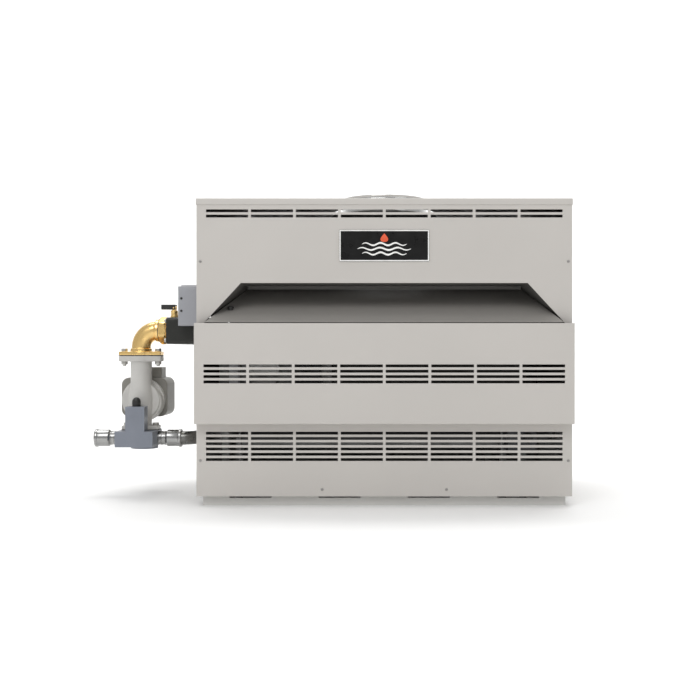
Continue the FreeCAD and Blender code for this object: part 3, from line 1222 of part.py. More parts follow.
def make_pump_rotor():
    hub_y = chamber_front + 4
    disc = rod((PUMP_X, hub_y + 14, VOLUTE_Z), (PUMP_X, hub_y + 18, VOLUTE_Z), IMPELLER_RADIUS)
    hub = rod((PUMP_X, hub_y, VOLUTE_Z), (PUMP_X, hub_y + 18, VOLUTE_Z), 13.0)
    vanes = []
    for i in range(6):
        vane = box((10, 0, 0), (IMPELLER_RADIUS - 2, 14, 3))
        vane.rotate(V(0, 0, 0), V(0, 1, 0), 60 * i)
        vane.translate(V(PUMP_X, hub_y, VOLUTE_Z))
        vanes.append(vane)
    shaft = rod((PUMP_X, hub_y + 10, VOLUTE_Z), (PUMP_X, motor_back_y + 5, VOLUTE_Z), SHAFT_RADIUS)
    drum = rod((PUMP_X, motor_plate_y + 12, VOLUTE_Z),
               (PUMP_X, motor_back_y - MOTOR_WALL - 12, VOLUTE_Z), 30.0)
    return fuse([disc, hub, shaft, drum] + vanes)


# ---- bypass manifold and tubes ----
neck_y = BYPASS_FRONT_Y + NECK_DEPTH / 2


def make_bypass_manifold():
    bar = box((BYPASS_LEFT_X, BYPASS_FRONT_Y, BYPASS_BOTTOM), (BYPASS_RIGHT_X, BYPASS_BACK_Y, BYPASS_TOP))
    neck = box((PUMP_X - NECK_WIDTH / 2, BYPASS_FRONT_Y, BYPASS_TOP - 1),
               (PUMP_X + NECK_WIDTH / 2, BYPASS_FRONT_Y + NECK_DEPTH, NECK_TOP))
    boss = rod((PUMP_X + 10, PUMP_Y, BYPASS_BOTTOM - 9), (PUMP_X + 10, PUMP_Y, BYPASS_BOTTOM + 4), 40.0)
    stem_z = NECK_TOP - 14
    tools = [rod((BYPASS_LEFT_X - 1, PUMP_Y, WATER_Z), (BYPASS_RIGHT_X + 1, PUMP_Y, WATER_Z), WATER_BORE),
             rod((PUMP_X, PUMP_Y, WATER_Z), (PUMP_X, PUMP_Y, BYPASS_TOP + 1), WATER_BORE),
             rod((OUTLET_X, PUMP_Y, WATER_Z), (OUTLET_X, BYPASS_BACK_Y + 1, WATER_Z), WATER_BORE),
             rod((PUMP_X, neck_y, WATER_Z), (PUMP_X, PUMP_Y, WATER_Z), BYPASS_PASSAGE_RADIUS),
             rod((PUMP_X, neck_y, WATER_Z - 14), (PUMP_X, neck_y, stem_z), PLUG_RADIUS + RUNNING_GAP),
             rod((PUMP_X, neck_y, stem_z - 1), (PUMP_X, neck_y, NECK_TOP + 1), STEM_RADIUS + RUNNING_GAP)]
    for side in (-1, 1):
        x = PUMP_X + side * LOWER_FLANGE_BOLT_X
        tools.append(rod((x, PUMP_Y, BYPASS_TOP - LOWER_BOLT_DEPTH), (x, PUMP_Y, BYPASS_TOP + 1),
                         FLANGE_BOLT_RADIUS))
    return cut(fuse([bar, neck, boss]), tools)


def make_bypass_plug():
    """Ported plug and stem inside the manifold's neck."""
    stem_z = NECK_TOP - 14
    plug = rod((PUMP_X, neck_y, WATER_Z - 13), (PUMP_X, neck_y, WATER_Z + 34), PLUG_RADIUS)
    port = rod((PUMP_X, neck_y - 16, WATER_Z), (PUMP_X, neck_y + 16, WATER_Z), BYPASS_PASSAGE_RADIUS)
    stem = rod((PUMP_X, neck_y, WATER_Z + 33), (PUMP_X, neck_y, NECK_TOP + 10), STEM_RADIUS)
    collar = rod((PUMP_X, neck_y, stem_z - 12), (PUMP_X, neck_y, stem_z - 1), 12.0)
    return fuse([plug.cut(port), stem, collar])


def make_bypass_knob():
    low = NECK_TOP + 0.6
    rise = KNOB_TOP - low
    profile = [(0, 0), (0, KNOB_RADIUS), (rise * 0.55, KNOB_RADIUS), (rise * 0.8, KNOB_RADIUS * 0.84),
               (rise * 0.94, KNOB_RADIUS * 0.55), (rise, KNOB_RADIUS * 0.2), (rise, 0)]
    cap = spin(profile, (PUMP_X, neck_y, low), (0, 0, 1))
    return cap.cut(rod((PUMP_X, neck_y, low - 1), (PUMP_X, neck_y, NECK_TOP + 10), STEM_RADIUS))


def make_press_coupling(start, axis, neck_length):
    """A press coupling: a neck, a step and a beaded bell that takes a water tube."""
    tip = neck_length + COUPLING_BELL
    bead = tip - 8
    bell = COUPLING_BELL_RADIUS - COUPLING_BEAD
    outer = [(0, 0), (0, COUPLING_NECK_RADIUS), (neck_length - 3, COUPLING_NECK_RADIUS),
             (neck_length + 2, bell), (bead, bell), (bead + 2, COUPLING_BELL_RADIUS),
             (tip - 2, COUPLING_BELL_RADIUS), (tip, bell), (tip, 0)]
    body = spin(outer, start, axis)
    line = V(*axis)
    begin = V(*start)
    tools = [Part.makeCylinder(WATER_BORE, tip + 2, begin - line, line),
             Part.makeCylinder(SOCKET_R, COUPLING_BELL - 4, begin + line * (neck_length + 4), line)]
    return cut(body, tools + [Part.makeCylinder(SOCKET_R, 4, begin + line * (tip - 2), line)])


def make_return_tube():
    start_x = BYPASS_RIGHT_X + RETURN_NECK + 6
    bend_start = RETURN_X - RETURN_BEND
    d = RETURN_BEND * math.sqrt(0.5)
    up = 62.0
    e = up * math.sqrt(0.5)
    y0 = PUMP_Y
    y1 = RETURN_BACK_Y
    z = WATER_Z
    top = header_low - 2
    runs = [
        Part.LineSegment(V(start_x, y0, z), V(bend_start, y0, z)).toShape(),
        Part.Arc(V(bend_start, y0, z), V(bend_start + d, y0 + RETURN_BEND - d, z),
                 V(RETURN_X, y0 + RETURN_BEND, z)).toShape(),
        Part.LineSegment(V(RETURN_X, y0 + RETURN_BEND, z), V(RETURN_X, y1 - up, z)).toShape(),
        Part.Arc(V(RETURN_X, y1 - up, z), V(RETURN_X, y1 - up + e, z + up - e),
                 V(RETURN_X, y1, z + up)).toShape(),
        Part.LineSegment(V(RETURN_X, y1, z + up), V(RETURN_X, y1, top)).toShape(),
    ]
    return arc_pipe(runs, WATER_TUBE_R).cut(arc_pipe(runs, WATER_TUBE_R - TUBE_THICK))


def make_panel_screws():
    solids = [pan_screw(x, z, FRONT_Y) for x, z in panel_screw_places() + toe_screw_places()]
    return Part.makeCompound(solids)


def make_gaskets():
    """Sealing sheets of both headers and both pump flanges."""
    return Part.makeCompound([
        make_header_gasket(header_right_x, chamber_spans()),
        make_header_gasket(sheet_right_x, [(HEADER_FRONT_Y + HEADER_WALL,
                                            header_back_y - HEADER_WALL)]),
        make_flange_gasket(BYPASS_TOP, BYPASS_TOP + GASKET, LOWER_FLANGE_LENGTH, LOWER_FLANGE_BOLT_X),
        make_flange_gasket(UPPER_FLANGE_FACE - GASKET / 2, UPPER_FLANGE_FACE + GASKET / 2,
                           FLANGE_LENGTH, FLANGE_BOLT_X),
    ])


def make_press_couplings():
    """Pool inlet on the left, pool outlet at the back and the heater's return on the right."""
    return Part.makeCompound([
        make_press_coupling((BYPASS_LEFT_X, PUMP_Y, WATER_Z), (-1, 0, 0), COUPLING_NECK),
        make_press_coupling((BYPASS_RIGHT_X, PUMP_Y, WATER_Z), (1, 0, 0), RETURN_NECK),
        make_press_coupling((OUTLET_X, BYPASS_BACK_Y, WATER_Z), (0, 1, 0), COUPLING_NECK),
    ])


def make_tube_sheets():
    return Part.makeCompound([make_tube_sheet(sheet_left_x),
                              make_tube_sheet(sheet_right_x - TUBE_SHEET_THICK)])


def make_relief_walls():
    return Part.makeCompound([make_relief_ceiling(), make_relief_cheek(-1), make_relief_cheek(1)])


nodes = {
    "base_pan": make_base_pan,
    "left_jacket": make_left_jacket,
    "right_jacket": make_right_jacket,
    "rear_jacket": make_rear_jacket,
    "upper_front_panel": make_upper_front_panel,
    "lower_front_panel": make_lower_front_panel,
    "middle_door": make_middle_door,
    "top_lid": make_top_lid,
    "vent_collar": make_vent_collar,
    "flue_collector": make_flue_collector,
    "relief_walls": make_relief_walls,
    "relief_baffle": make_relief_baffle,
    "spill_switch": make_spill_switch,
    "badge_plate": make_badge_plate,
    "panel_screws": make_panel_screws,
    "water_header": make_water_header,
    "return_header": make_return_header,
    "gaskets": make_gaskets,
    "tube_sheets": make_tube_sheets,
    "finned_tubes": make_finned_tubes,
    "flue_baffles": make_flue_baffles,
    "header_bolts": make_header_bolts,
    "chamber_frame": make_chamber_frame,
    "refractory_panels": make_refractory_panels,
    "burner_tray": make_burner_tray,
    "burners": make_burners,
    "gas_manifold": make_gas_manifold,
    "manifold_brackets": make_manifold_brackets,
    "orifices": make_orifices,
    "igniter": make_igniter,
    "gas_valve": make_gas_valve,
    "gas_valve_knob": make_gas_valve_knob,
    "gas_pipe": make_gas_pipe,
    "gas_inlet": make_gas_inlet,
    "control_plate": make_control_plate,
    "control_bracket": make_control_bracket,
    "ignition_module": make_ignition_module,
    "transformer": make_transformer,
    "temperature_controller": make_temperature_controller,
    "temperature_knob": make_temperature_knob,
    "power_rocker": make_power_rocker,
    "wiring_box": make_wiring_box,
    "wiring_cover": make_wiring_cover,
    "wiring_bracket": make_wiring_bracket,
    "relief_valve": make_relief_valve,
    "relief_lever": make_relief_lever,
    "brass_elbow": make_brass_elbow,
    "brass_union": make_brass_union,
    "flange_bolts": make_flange_bolts,
    "pump_casing": make_pump_casing,
    "motor_plate": make_motor_plate,
    "motor_housing": make_motor_housing,
    "motor_stator": make_motor_stator,
    "terminal_box": make_terminal_box,
    "pump_rotor": make_pump_rotor,
    "bypass_manifold": make_bypass_manifold,
    "bypass_plug": make_bypass_plug,
    "bypass_knob": make_bypass_knob,
    "press_couplings": make_press_couplings,
    "return_tube": make_return_tube,
}

os.makedirs("parts", exist_ok=True)
for name, make in nodes.items():
    save(name, make())
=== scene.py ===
import json
import math

import bmesh
import bpy
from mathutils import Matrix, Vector


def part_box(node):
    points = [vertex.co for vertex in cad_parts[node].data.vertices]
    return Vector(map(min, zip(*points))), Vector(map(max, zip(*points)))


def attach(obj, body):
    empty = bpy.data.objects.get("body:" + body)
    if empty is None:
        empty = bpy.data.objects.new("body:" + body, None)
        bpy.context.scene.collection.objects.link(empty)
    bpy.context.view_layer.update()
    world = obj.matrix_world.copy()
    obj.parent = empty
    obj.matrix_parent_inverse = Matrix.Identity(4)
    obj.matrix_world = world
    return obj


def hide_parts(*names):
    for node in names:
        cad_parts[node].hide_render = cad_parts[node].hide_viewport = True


# Gas pool heater: the looks of every piece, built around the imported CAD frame. Metres.
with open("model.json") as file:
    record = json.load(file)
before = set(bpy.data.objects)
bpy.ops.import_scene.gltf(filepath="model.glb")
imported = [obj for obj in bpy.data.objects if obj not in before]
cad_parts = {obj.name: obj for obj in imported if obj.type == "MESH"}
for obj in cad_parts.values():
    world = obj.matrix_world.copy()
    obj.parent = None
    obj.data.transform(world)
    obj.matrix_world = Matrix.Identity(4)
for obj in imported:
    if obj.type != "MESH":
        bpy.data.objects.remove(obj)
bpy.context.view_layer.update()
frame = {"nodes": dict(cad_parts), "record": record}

MM = 0.001
NODES = frame["nodes"]


# ---------------------------------------------------------------- materials
def shader(name, colour, roughness, metallic, specular=0.5, coat=0.0):
    """A new material; returns (material, node tree, principled shader, object coordinates)."""
    mat = bpy.data.materials.new(name)
    mat.use_nodes = True
    tree = mat.node_tree
    principled = tree.nodes["Principled BSDF"]
    principled.inputs["Base Color"].default_value = (*colour, 1.0)
    principled.inputs["Roughness"].default_value = roughness
    principled.inputs["Metallic"].default_value = metallic
    principled.inputs["Specular IOR Level"].default_value = specular
    principled.inputs["Coat Weight"].default_value = coat
    coords = tree.nodes.new("ShaderNodeTexCoord")
    return mat, tree, principled, coords.outputs["Object"]


def noise(tree, coords, scale, detail=3.0, stretch=(1, 1, 1)):
    """Noise in object space, stretched along an axis if asked."""
    mapping = tree.nodes.new("ShaderNodeMapping")
    mapping.inputs["Scale"].default_value = stretch
    tree.links.new(coords, mapping.inputs["Vector"])
    node = tree.nodes.new("ShaderNodeTexNoise")
    node.inputs["Scale"].default_value = scale
    node.inputs["Detail"].default_value = detail
    tree.links.new(mapping.outputs["Vector"], node.inputs["Vector"])
    return node.outputs["Fac"]


def spread(tree, value, low, high):
    """A 0 to 1 value mapped to a range."""
    node = tree.nodes.new("ShaderNodeMapRange")
    node.inputs["From Min"].default_value = 0.3
    node.inputs["From Max"].default_value = 0.7
    node.inputs["To Min"].default_value = low
    node.inputs["To Max"].default_value = high
    tree.links.new(value, node.inputs["Value"])
    return node.outputs["Result"]


def mix_colour(tree, factor, first, second):
    """A colour between two; each is a tuple or a socket."""
    node = tree.nodes.new("ShaderNodeMix")
    node.data_type = "RGBA"
    sockets = {s.identifier: s for s in node.inputs}
    tree.links.new(factor, sockets["Factor_Float"])
    for value, key in ((first, "A_Color"), (second, "B_Color")):
        if isinstance(value, tuple):
            sockets[key].default_value = (*value, 1.0)
        else:
            tree.links.new(value, sockets[key])
    return [s for s in node.outputs if s.identifier == "Result_Color"][0]


def bump(tree, principled, heights):
    """Stacked bump; each entry is (height socket, distance in metres, strength)."""
    last = None
    for height, distance, strength in heights:
        node = tree.nodes.new("ShaderNodeBump")
        node.inputs["Distance"].default_value = distance
        node.inputs["Strength"].default_value = strength
        tree.links.new(height, node.inputs["Height"])
        if last is not None:
            tree.links.new(last, node.inputs["Normal"])
        last = node.outputs["Normal"]
    tree.links.new(last, principled.inputs["Normal"])


def edge_mask(tree, radius):
    """1 near a convex edge and 0 on flat stretches, from how far a rounded normal turns."""
    bevel = tree.nodes.new("ShaderNodeBevel")
    bevel.samples = 4
    bevel.inputs["Radius"].default_value = radius
    geometry = tree.nodes.new("ShaderNodeNewGeometry")
    dot = tree.nodes.new("ShaderNodeVectorMath")
    dot.operation = "DOT_PRODUCT"
    tree.links.new(bevel.outputs["Normal"], dot.inputs[0])
    tree.links.new(geometry.outputs["Normal"], dot.inputs[1])
    ramp = tree.nodes.new("ShaderNodeMapRange")
    ramp.inputs["From Min"].default_value = 0.995
    ramp.inputs["From Max"].default_value = 0.86
    tree.links.new(dot.outputs["Value"], ramp.inputs["Value"])
    return ramp.outputs["Result"]


def times(tree, first, second):
    """The product of two sockets."""
    node = tree.nodes.new("ShaderNodeMath")
    node.operation = "MULTIPLY"
    tree.links.new(first, node.inputs[0])
    tree.links.new(second, node.inputs[1])
    return node.outputs["Value"]


def powder_coat(name, colour, roughness=0.42):
    """Baked paint on sheet steel: fine orange peel, faint blotches, edges rubbed a little lighter."""
    mat, tree, principled, coords = shader(name, colour, roughness, 0.0, 0.45)
    broad = noise(tree, coords, 3.0, 2.0)
    fine = noise(tree, coords, 380.0, 2.0)
    smudge = noise(tree, coords, 22.0, 5.0)
    darker = tuple(c * 0.965 for c in colour)
    base = mix_colour(tree, spread(tree, broad, 0, 1), colour, darker)
    lighter = tuple(min(1.0, c * 1.10 + 0.02) for c in colour)
    worn = times(tree, edge_mask(tree, 0.0012), spread(tree, smudge, 0.15, 0.7))
    tree.links.new(mix_colour(tree, worn, base, lighter), principled.inputs["Base Color"])
    tree.links.new(spread(tree, smudge, roughness - 0.05, roughness + 0.07), principled.inputs["Roughness"])
    bump(tree, principled, [(fine, 0.00012, 0.35), (broad, 0.0006, 0.2)])
    return mat


def cast_paint(name, colour, roughness, grain=210.0, depth=0.0004):
    """Paint over a sand casting: pebbled skin, darker pits, wear on the corners."""
    mat, tree, principled, coords = shader(name, colour, roughness, 0.0, 0.45)
    pebble = noise(tree, coords, grain, 4.0)
    blotch = noise(tree, coords, 16.0, 4.0)
    darker = tuple(c * 0.80 for c in colour)
    base = mix_colour(tree, spread(tree, blotch, 0.0, 0.6), colour, darker)
    worn_colour = tuple(min(1.0, c * 1.25 + 0.03) for c in colour)
    worn = times(tree, edge_mask(tree, 0.0018), spread(tree, blotch, 0.2, 0.9))
    tree.links.new(mix_colour(tree, worn, base, worn_colour), principled.inputs["Base Color"])
    tree.links.new(spread(tree, pebble, roughness - 0.08, roughness + 0.1), principled.inputs["Roughness"])
    bump(tree, principled, [(pebble, depth, 0.55), (blotch, depth * 2, 0.25)])
    return mat


def bare_metal(name, colour, roughness, streak=(1, 1, 1), grain=160.0, tarnish=0.75, depth=0.00008):
    """Drawn or machined metal: directional streaks, uneven polish and a little tarnish."""
    mat, tree, principled, coords = shader(name, colour, roughness, 1.0)
    lines = noise(tree, coords, grain, 5.0, streak)
    cloud = noise(tree, coords, 26.0, 4.0)
    dull = tuple(c * tarnish for c in colour)
    tree.links.new(mix_colour(tree, spread(tree, cloud, 0.0, 0.7), colour, dull),
                   principled.inputs["Base Color"])
    tree.links.new(spread(tree, cloud, roughness - 0.06, roughness + 0.12), principled.inputs["Roughness"])
    bump(tree, principled, [(lines, depth, 0.5)])
    return mat


def plastic(name, colour, roughness, coat=0.0, specular=0.5):
    """Moulded plastic with a fine spark texture."""
    mat, tree, principled, coords = shader(name, colour, roughness, 0.0, specular, coat)
    spark = noise(tree, coords, 900.0, 2.0)
    cloud = noise(tree, coords, 40.0, 3.0)
    lighter = tuple(min(1.0, c * 1.18 + 0.004) for c in colour)
    tree.links.new(mix_colour(tree, spread(tree, cloud, 0, 1), colour, lighter),
                   principled.inputs["Base Color"])
    tree.links.new(spread(tree, cloud, roughness - 0.04, roughness + 0.06), principled.inputs["Roughness"])
    bump(tree, principled, [(spark, 0.00008, 0.4)])
    return mat


def galvanized(name, colour, roughness):
    """Zinc-coated sheet with its spangle."""
    mat, tree, principled, coords = shader(name, colour, roughness, 1.0)
    cells = tree.nodes.new("ShaderNodeTexVoronoi")
    cells.inputs["Scale"].default_value = 75.0
    tree.links.new(coords, cells.inputs["Vector"])
    grey = tree.nodes.new("ShaderNodeSeparateColor")
    tree.links.new(cells.outputs["Color"], grey.inputs["Color"])
    spangle = grey.outputs["Red"]
    darker = tuple(c * 0.82 for c in colour)
    tree.links.new(mix_colour(tree, spangle, darker, colour), principled.inputs["Base Color"])
    tree.links.new(spread(tree, spangle, roughness - 0.04, roughness + 0.12), principled.inputs["Roughness"])
    bump(tree, principled, [(noise(tree, coords, 9.0, 2.0), 0.0004, 0.08)])
    return mat


def fibre_board(name, colour):
    """Ceramic fibre board: soft, chalky, faintly layered."""
    mat, tree, principled, coords = shader(name, colour, 0.95, 0.0, 0.2)
    fibre = noise(tree, coords, 120.0, 8.0, (1, 1, 4))
    darker = tuple(c * 0.82 for c in colour)
    tree.links.new(mix_colour(tree, spread(tree, fibre, 0, 1), colour, darker),
                   principled.inputs["Base Color"])
    bump(tree, principled, [(fibre, 0.0012, 0.7)])
    return mat


PAINT = powder_coat("cabinet_paint", (0.56, 0.535, 0.505))
MATERIALS = {
    "painted_steel": PAINT,
    # The base's paint is lighter than its own colour: painted light lifting the shade under the panels'
    # overhang.
    "base_steel": powder_coat("base_paint", (0.67, 0.66, 0.635), 0.5),
    "galvanized_steel": galvanized("zinc_sheet", (0.30, 0.30, 0.295), 0.42),
    "bright_bracket": powder_coat("bracket_paint", (0.68, 0.68, 0.70), 0.35),
    "zinc_steel": bare_metal("zinc_fastener", (0.60, 0.59, 0.56), 0.30, tarnish=0.8),
    "black_iron": cast_paint("black_casting", (0.015, 0.016, 0.013), 0.42, depth=0.0003),
    "gas_black": cast_paint("black_pipe", (0.050, 0.050, 0.052), 0.42, 320.0, 0.0002),
    "brass": bare_metal("cast_brass", (0.95, 0.66, 0.27), 0.24, grain=240.0, tarnish=0.86, depth=0.00008),
    "copper": bare_metal("copper", (0.80, 0.40, 0.25), 0.32),
    "pump_casting": cast_paint("pump_paint", (0.60, 0.59, 0.565), 0.40, 260.0, 0.00022),
    "motor_paint": cast_paint("motor_paint", (0.27, 0.26, 0.235), 0.42, 420.0, 0.00018),
    "motor_core": bare_metal("laminations", (0.35, 0.35, 0.36), 0.4, (1, 30, 1)),
    "valve_casting": cast_paint("valve_paint", (0.23, 0.25, 0.295), 0.40, 420.0, 0.00015),
    "plug_steel": bare_metal("plug_steel", (0.6, 0.6, 0.6), 0.25),
    # Darker than the steel's own colour: painted shade standing in for the tube's dark underside and dark
    # reflections.
    "stainless": bare_metal("stainless", (0.22, 0.22, 0.21), 0.22, (25, 1, 1), tarnish=0.9),
    "black_plastic": plastic("black_plastic", (0.015, 0.015, 0.014), 0.42),
    "light_plastic": plastic("light_plastic", (0.60, 0.60, 0.58), 0.45),
    "transformer_steel": bare_metal("transformer_core", (0.33, 0.32, 0.31), 0.45, (1, 1, 30)),
    "valve_grey": cast_paint("gas_valve_grey", (0.085, 0.085, 0.09), 0.45),
    "box_grey": powder_coat("wiring_box_paint", (0.335, 0.342, 0.368), 0.36),
    "badge": plastic("badge_black", (0.007, 0.007, 0.007), 0.3, specular=0.2),
    "gasket": plastic("gasket_sheet", (0.05, 0.05, 0.05), 0.75),
    # Far darker than the board's own pale tone: painted shade for the cabinet's inside behind the louvres.
    "refractory": fibre_board("fibre_board", (0.10, 0.095, 0.088)),
    "ceramic": plastic("igniter_ceramic", (0.78, 0.76, 0.72), 0.35),
}
WHITE_ENAMEL = plastic("badge_white", (0.82, 0.82, 0.80), 0.30, 0.3)
FLAME_ENAMEL = plastic("badge_flame", (0.72, 0.10, 0.035), 0.30, 0.3)
SEAL_RUBBER = plastic("seal_rubber", (0.02, 0.02, 0.02), 0.6)
COLLAR_METAL = bare_metal("collar_zinc", (0.62, 0.62, 0.61), 0.16, tarnish=0.95)
PANEL_SCREW_METAL = bare_metal("panel_screw_zinc", (0.40, 0.39, 0.38), 0.35)
# A lighter copy of the same stainless for the couplings; the return tube's copy is darkened as painted shade.
COUPLING_METAL = bare_metal("press_steel", (0.40, 0.40, 0.395), 0.20, (1, 1, 25), tarnish=0.9)
# Painted shade for the jackets' inside faces, darker than the cabinet paint they really carry.
INNER_SHADE_PAINT = powder_coat("inner_painted_shade", (0.24, 0.233, 0.222), 0.6)
# Painted shade inside the draft relief: the panels' paint made darker there to stand in for the shade in the
# recess.
RECESS_SHADE_PAINT = {"relief_baffle": powder_coat("baffle_painted_shade", (0.28, 0.267, 0.25), 0.5),
                "relief_walls": powder_coat("cheek_painted_shade", (0.15, 0.144, 0.136), 0.5)}

SLOT_OF = {s["node"]: s["material_slot"] for s in frame["record"]["subparts"]}
BODY_OF = {n: b for b, members in frame["record"]["behaviour"]["bodies"].items() for n in members}


def material_of(node):
    """A node's darkened paint inside the draft relief, which is painted shade, or its slot's material."""
    return RECESS_SHADE_PAINT.get(node) or MATERIALS[SLOT_OF[node]]


def paint_cad_nodes():
    """Gives every CAD node its procedural material."""
    for name, obj in NODES.items():
        obj.data.materials.clear()
        obj.data.materials.append(material_of(name))


# ---------------------------------------------------------------- mesh helpers
def new_object(name, bm, material):
    """A mesh object from bmesh data, in the row frame."""
    mesh = bpy.data.meshes.new(name)
    bm.normal_update()
    bm.to_mesh(mesh)
    bm.free()
    obj = bpy.data.objects.new(name, mesh)
    bpy.context.scene.collection.objects.link(obj)
    mesh.materials.append(material)
    return obj


def apply_modifiers(obj):
    """Bakes an object's modifiers into its mesh."""
    bpy.context.view_layer.update()
    graph = bpy.context.evaluated_depsgraph_get()
    mesh = bpy.data.meshes.new_from_object(obj.evaluated_get(graph))
    obj.modifiers.clear()
    obj.data = mesh


def shade(obj, angle=35.0):
    """Smooth shading with creases kept at edges sharper than an angle."""
    mesh = obj.data
    limit = math.radians(angle)
    bm = bmesh.new()
    bm.from_mesh(mesh)
    for face in bm.faces:
        face.smooth = True
    for edge in bm.edges:
        if len(edge.link_faces) != 2 or edge.calc_face_angle(0.0) > limit:
            edge.smooth = False
    bm.to_mesh(mesh)
    bm.free()


def add_bevel(obj, width, segments=2, angle=30.0):
    """A bevel on the edges sharper than an angle."""
    mod = obj.modifiers.new("edges", "BEVEL")
    mod.width = width
    mod.segments = segments
    mod.limit_method = "ANGLE"
    mod.angle_limit = math.radians(angle)
    mod.use_clamp_overlap = True
    mod.harden_normals = False


def stands_for(obj, node):
    """The piece rides its node's body and hides the node's CAD solids."""
    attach(obj, BODY_OF[node])
    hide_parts(node)
    return obj


def rides_with(obj, node):
    """The piece rides its node's body, and hides nothing."""
    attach(obj, BODY_OF[node])
    return obj


def welded_copy(node):
    """The node's surface as bmesh data, welded, with flat stretches joined into single faces."""
    bm = bmesh.new()
    bm.from_mesh(NODES[node].data)
    bmesh.ops.remove_doubles(bm, verts=bm.verts, dist=2e-6)
    bmesh.ops.dissolve_limit(bm, angle_limit=math.radians(0.4), use_dissolve_boundaries=False,
                             verts=bm.verts, edges=bm.edges)
    return bm


FLAT_AREA = 0.001       # square metres
FACING_IN = 0.1         # cosine of the angle to the cabinet's middle, above which a face looks in
CAST_FLOW = 0.5


def flatten(obj):
    """Large flat faces keep their own normal, so no gradient runs across them."""
    for polygon in obj.data.polygons:
        if polygon.area > FLAT_AREA:
            polygon.use_smooth = False


def soften(node, width):
    """A copy of a machined or folded piece whose edges are broken by a real bevel."""
    obj = new_object(node + "_body", welded_copy(node), material_of(node))
    add_bevel(obj, width)
    apply_modifiers(obj)
    shade(obj)
    flatten(obj)
    return stands_for(obj, node)


def paint_inside_shade(obj):
    """Painted shade: dark paint on a jacket's faces that look into the cabinet, standing in for the shade
    inside it.
    """
    low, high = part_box("base_pan")
    centre = (low + high) / 2
    obj.data.materials.append(INNER_SHADE_PAINT)
    for polygon in obj.data.polygons:
        inward = centre - polygon.center
        inward.z = 0
        if polygon.normal.dot(inward) > FACING_IN * inward.length and polygon.area > FLAT_AREA:
            polygon.material_index = 1


def cast_body(node, voxel, rounds):
    """A copy of a casting whose corners flow together as a moulded skin does."""
    obj = new_object(node + "_casting", welded_copy(node), material_of(node))
    remesh = obj.modifiers.new("skin", "REMESH")
    remesh.mode = "VOXEL"
    remesh.voxel_size = voxel
    smooth = obj.modifiers.new("flow", "CORRECTIVE_SMOOTH")
    smooth.iterations = rounds
    smooth.factor = CAST_FLOW
    smooth.use_only_smooth = True
    apply_modifiers(obj)
    for polygon in obj.data.polygons:
        polygon.use_smooth = True
    return stands_for(obj, node)


def lathe(name, profile, origin, axis, material, steps, closed=False):
    """A turned skin; profile points are (along the axis, radius)."""
    line = Vector(axis).normalized()
    side = line.orthogonal().normalized()
    other = line.cross(side)
    start = Vector(origin)
    bm = bmesh.new()
    rings = []
    for along, radius in profile:
        ring = []
        count = 1 if radius < 1e-7 else steps
        for i in range(count):
            angle = 2 * math.pi * i / steps
            out = side * math.cos(angle) + other * math.sin(angle)
            ring.append(bm.verts.new(start + line * along + out * radius))
        rings.append(ring)
    pairs = list(zip(rings[:-1], rings[1:]))
    if closed:
        pairs.append((rings[-1], rings[0]))
    for low, high in pairs:
        for i in range(steps):
            j = (i + 1) % steps
            corners = [low[i % len(low)], low[j % len(low)], high[j % len(high)], high[i % len(high)]]
            unique = list(dict.fromkeys(corners))
            if len(unique) > 2:
                bm.faces.new(unique)
    bmesh.ops.recalc_face_normals(bm, faces=bm.faces)
    obj = new_object(name, bm, material)
    shade(obj, 32.0)
    return obj


def grid_sheet(bm, xs, zs, y, is_open):
    """Flat quads between grid lines, leaving out the cells that are open. Returns {(i, k): vertex}."""
    verts = {}

    def at(i, k):
        if (i, k) not in verts:
            verts[i, k] = bm.verts.new((xs[i], y, zs[k]))
        return verts[i, k]

    for i in range(len(xs) - 1):
        for k in range(len(zs) - 1):
            middle = ((xs[i] + xs[i + 1]) / 2, (zs[k] + zs[k + 1]) / 2)
            if not is_open(*middle):
                bm.faces.new([at(i, k), at(i + 1, k), at(i + 1, k + 1), at(i, k + 1)])
    return verts


# ---------------------------------------------------------------- louvred sheet metal
SHEET = 1.5 * MM
LOUVRE_PITCH = 124.3 * MM
LOUVRE_LENGTH = 116.5 * MM
LOUVRE_HEIGHT = 7.9 * MM
LOUVRE_ROW_PITCH = 14.6 * MM
LOUVRE_COLUMNS = 8
BEND_RADIUS = 2.2 * MM
BEND_SEGMENTS = 4
DOOR_LOUVRE_TOP = 389.0 * MM
DOOR_LOUVRE_ROWS = 4
DOOR_HEM = 10 * MM
LOWER_LOUVRE_TOP = 202.2 * MM
LOWER_LOUVRE_ROWS = 6
UPPER_LOUVRE_DROP = 34.7 * MM       # below the lid's top
UPPER_LOUVRE_ROWS = 2
RECESS_TOP = 617.8 * MM
RECESS_TOP_HALF = 397.0 * MM
RECESS_SIDE_RUN = 0.9265
LID_HOLE_RADIUS = 157.5 * MM
LID_HOLE_STEPS = 96
COLLAR_RADIUS = 128.5 * MM
COLLAR_WALL = 1.2 * MM
COLLAR_FLANGE = 12 * MM
COLLAR_BEAD_DROP = 10.5 * MM


def louvre_lines(top_row_z, rows):
    """Grid lines round every slot, and a test for what lies in one."""
    xs = []
    zs = []
    for column in range(LOUVRE_COLUMNS):
        x = (column - (LOUVRE_COLUMNS - 1) / 2) * LOUVRE_PITCH
        xs += [x - LOUVRE_LENGTH / 2, x + LOUVRE_LENGTH / 2]
    for row in range(rows):
        z = top_row_z - row * LOUVRE_ROW_PITCH
        zs += [z - LOUVRE_HEIGHT / 2, z + LOUVRE_HEIGHT / 2]

    def inside(x, z):
        in_x = any(xs[2 * i] < x < xs[2 * i + 1] for i in range(LOUVRE_COLUMNS))
        in_z = any(zs[2 * i] < z < zs[2 * i + 1] for i in range(rows))
        return in_x and in_z

    return xs, zs, inside


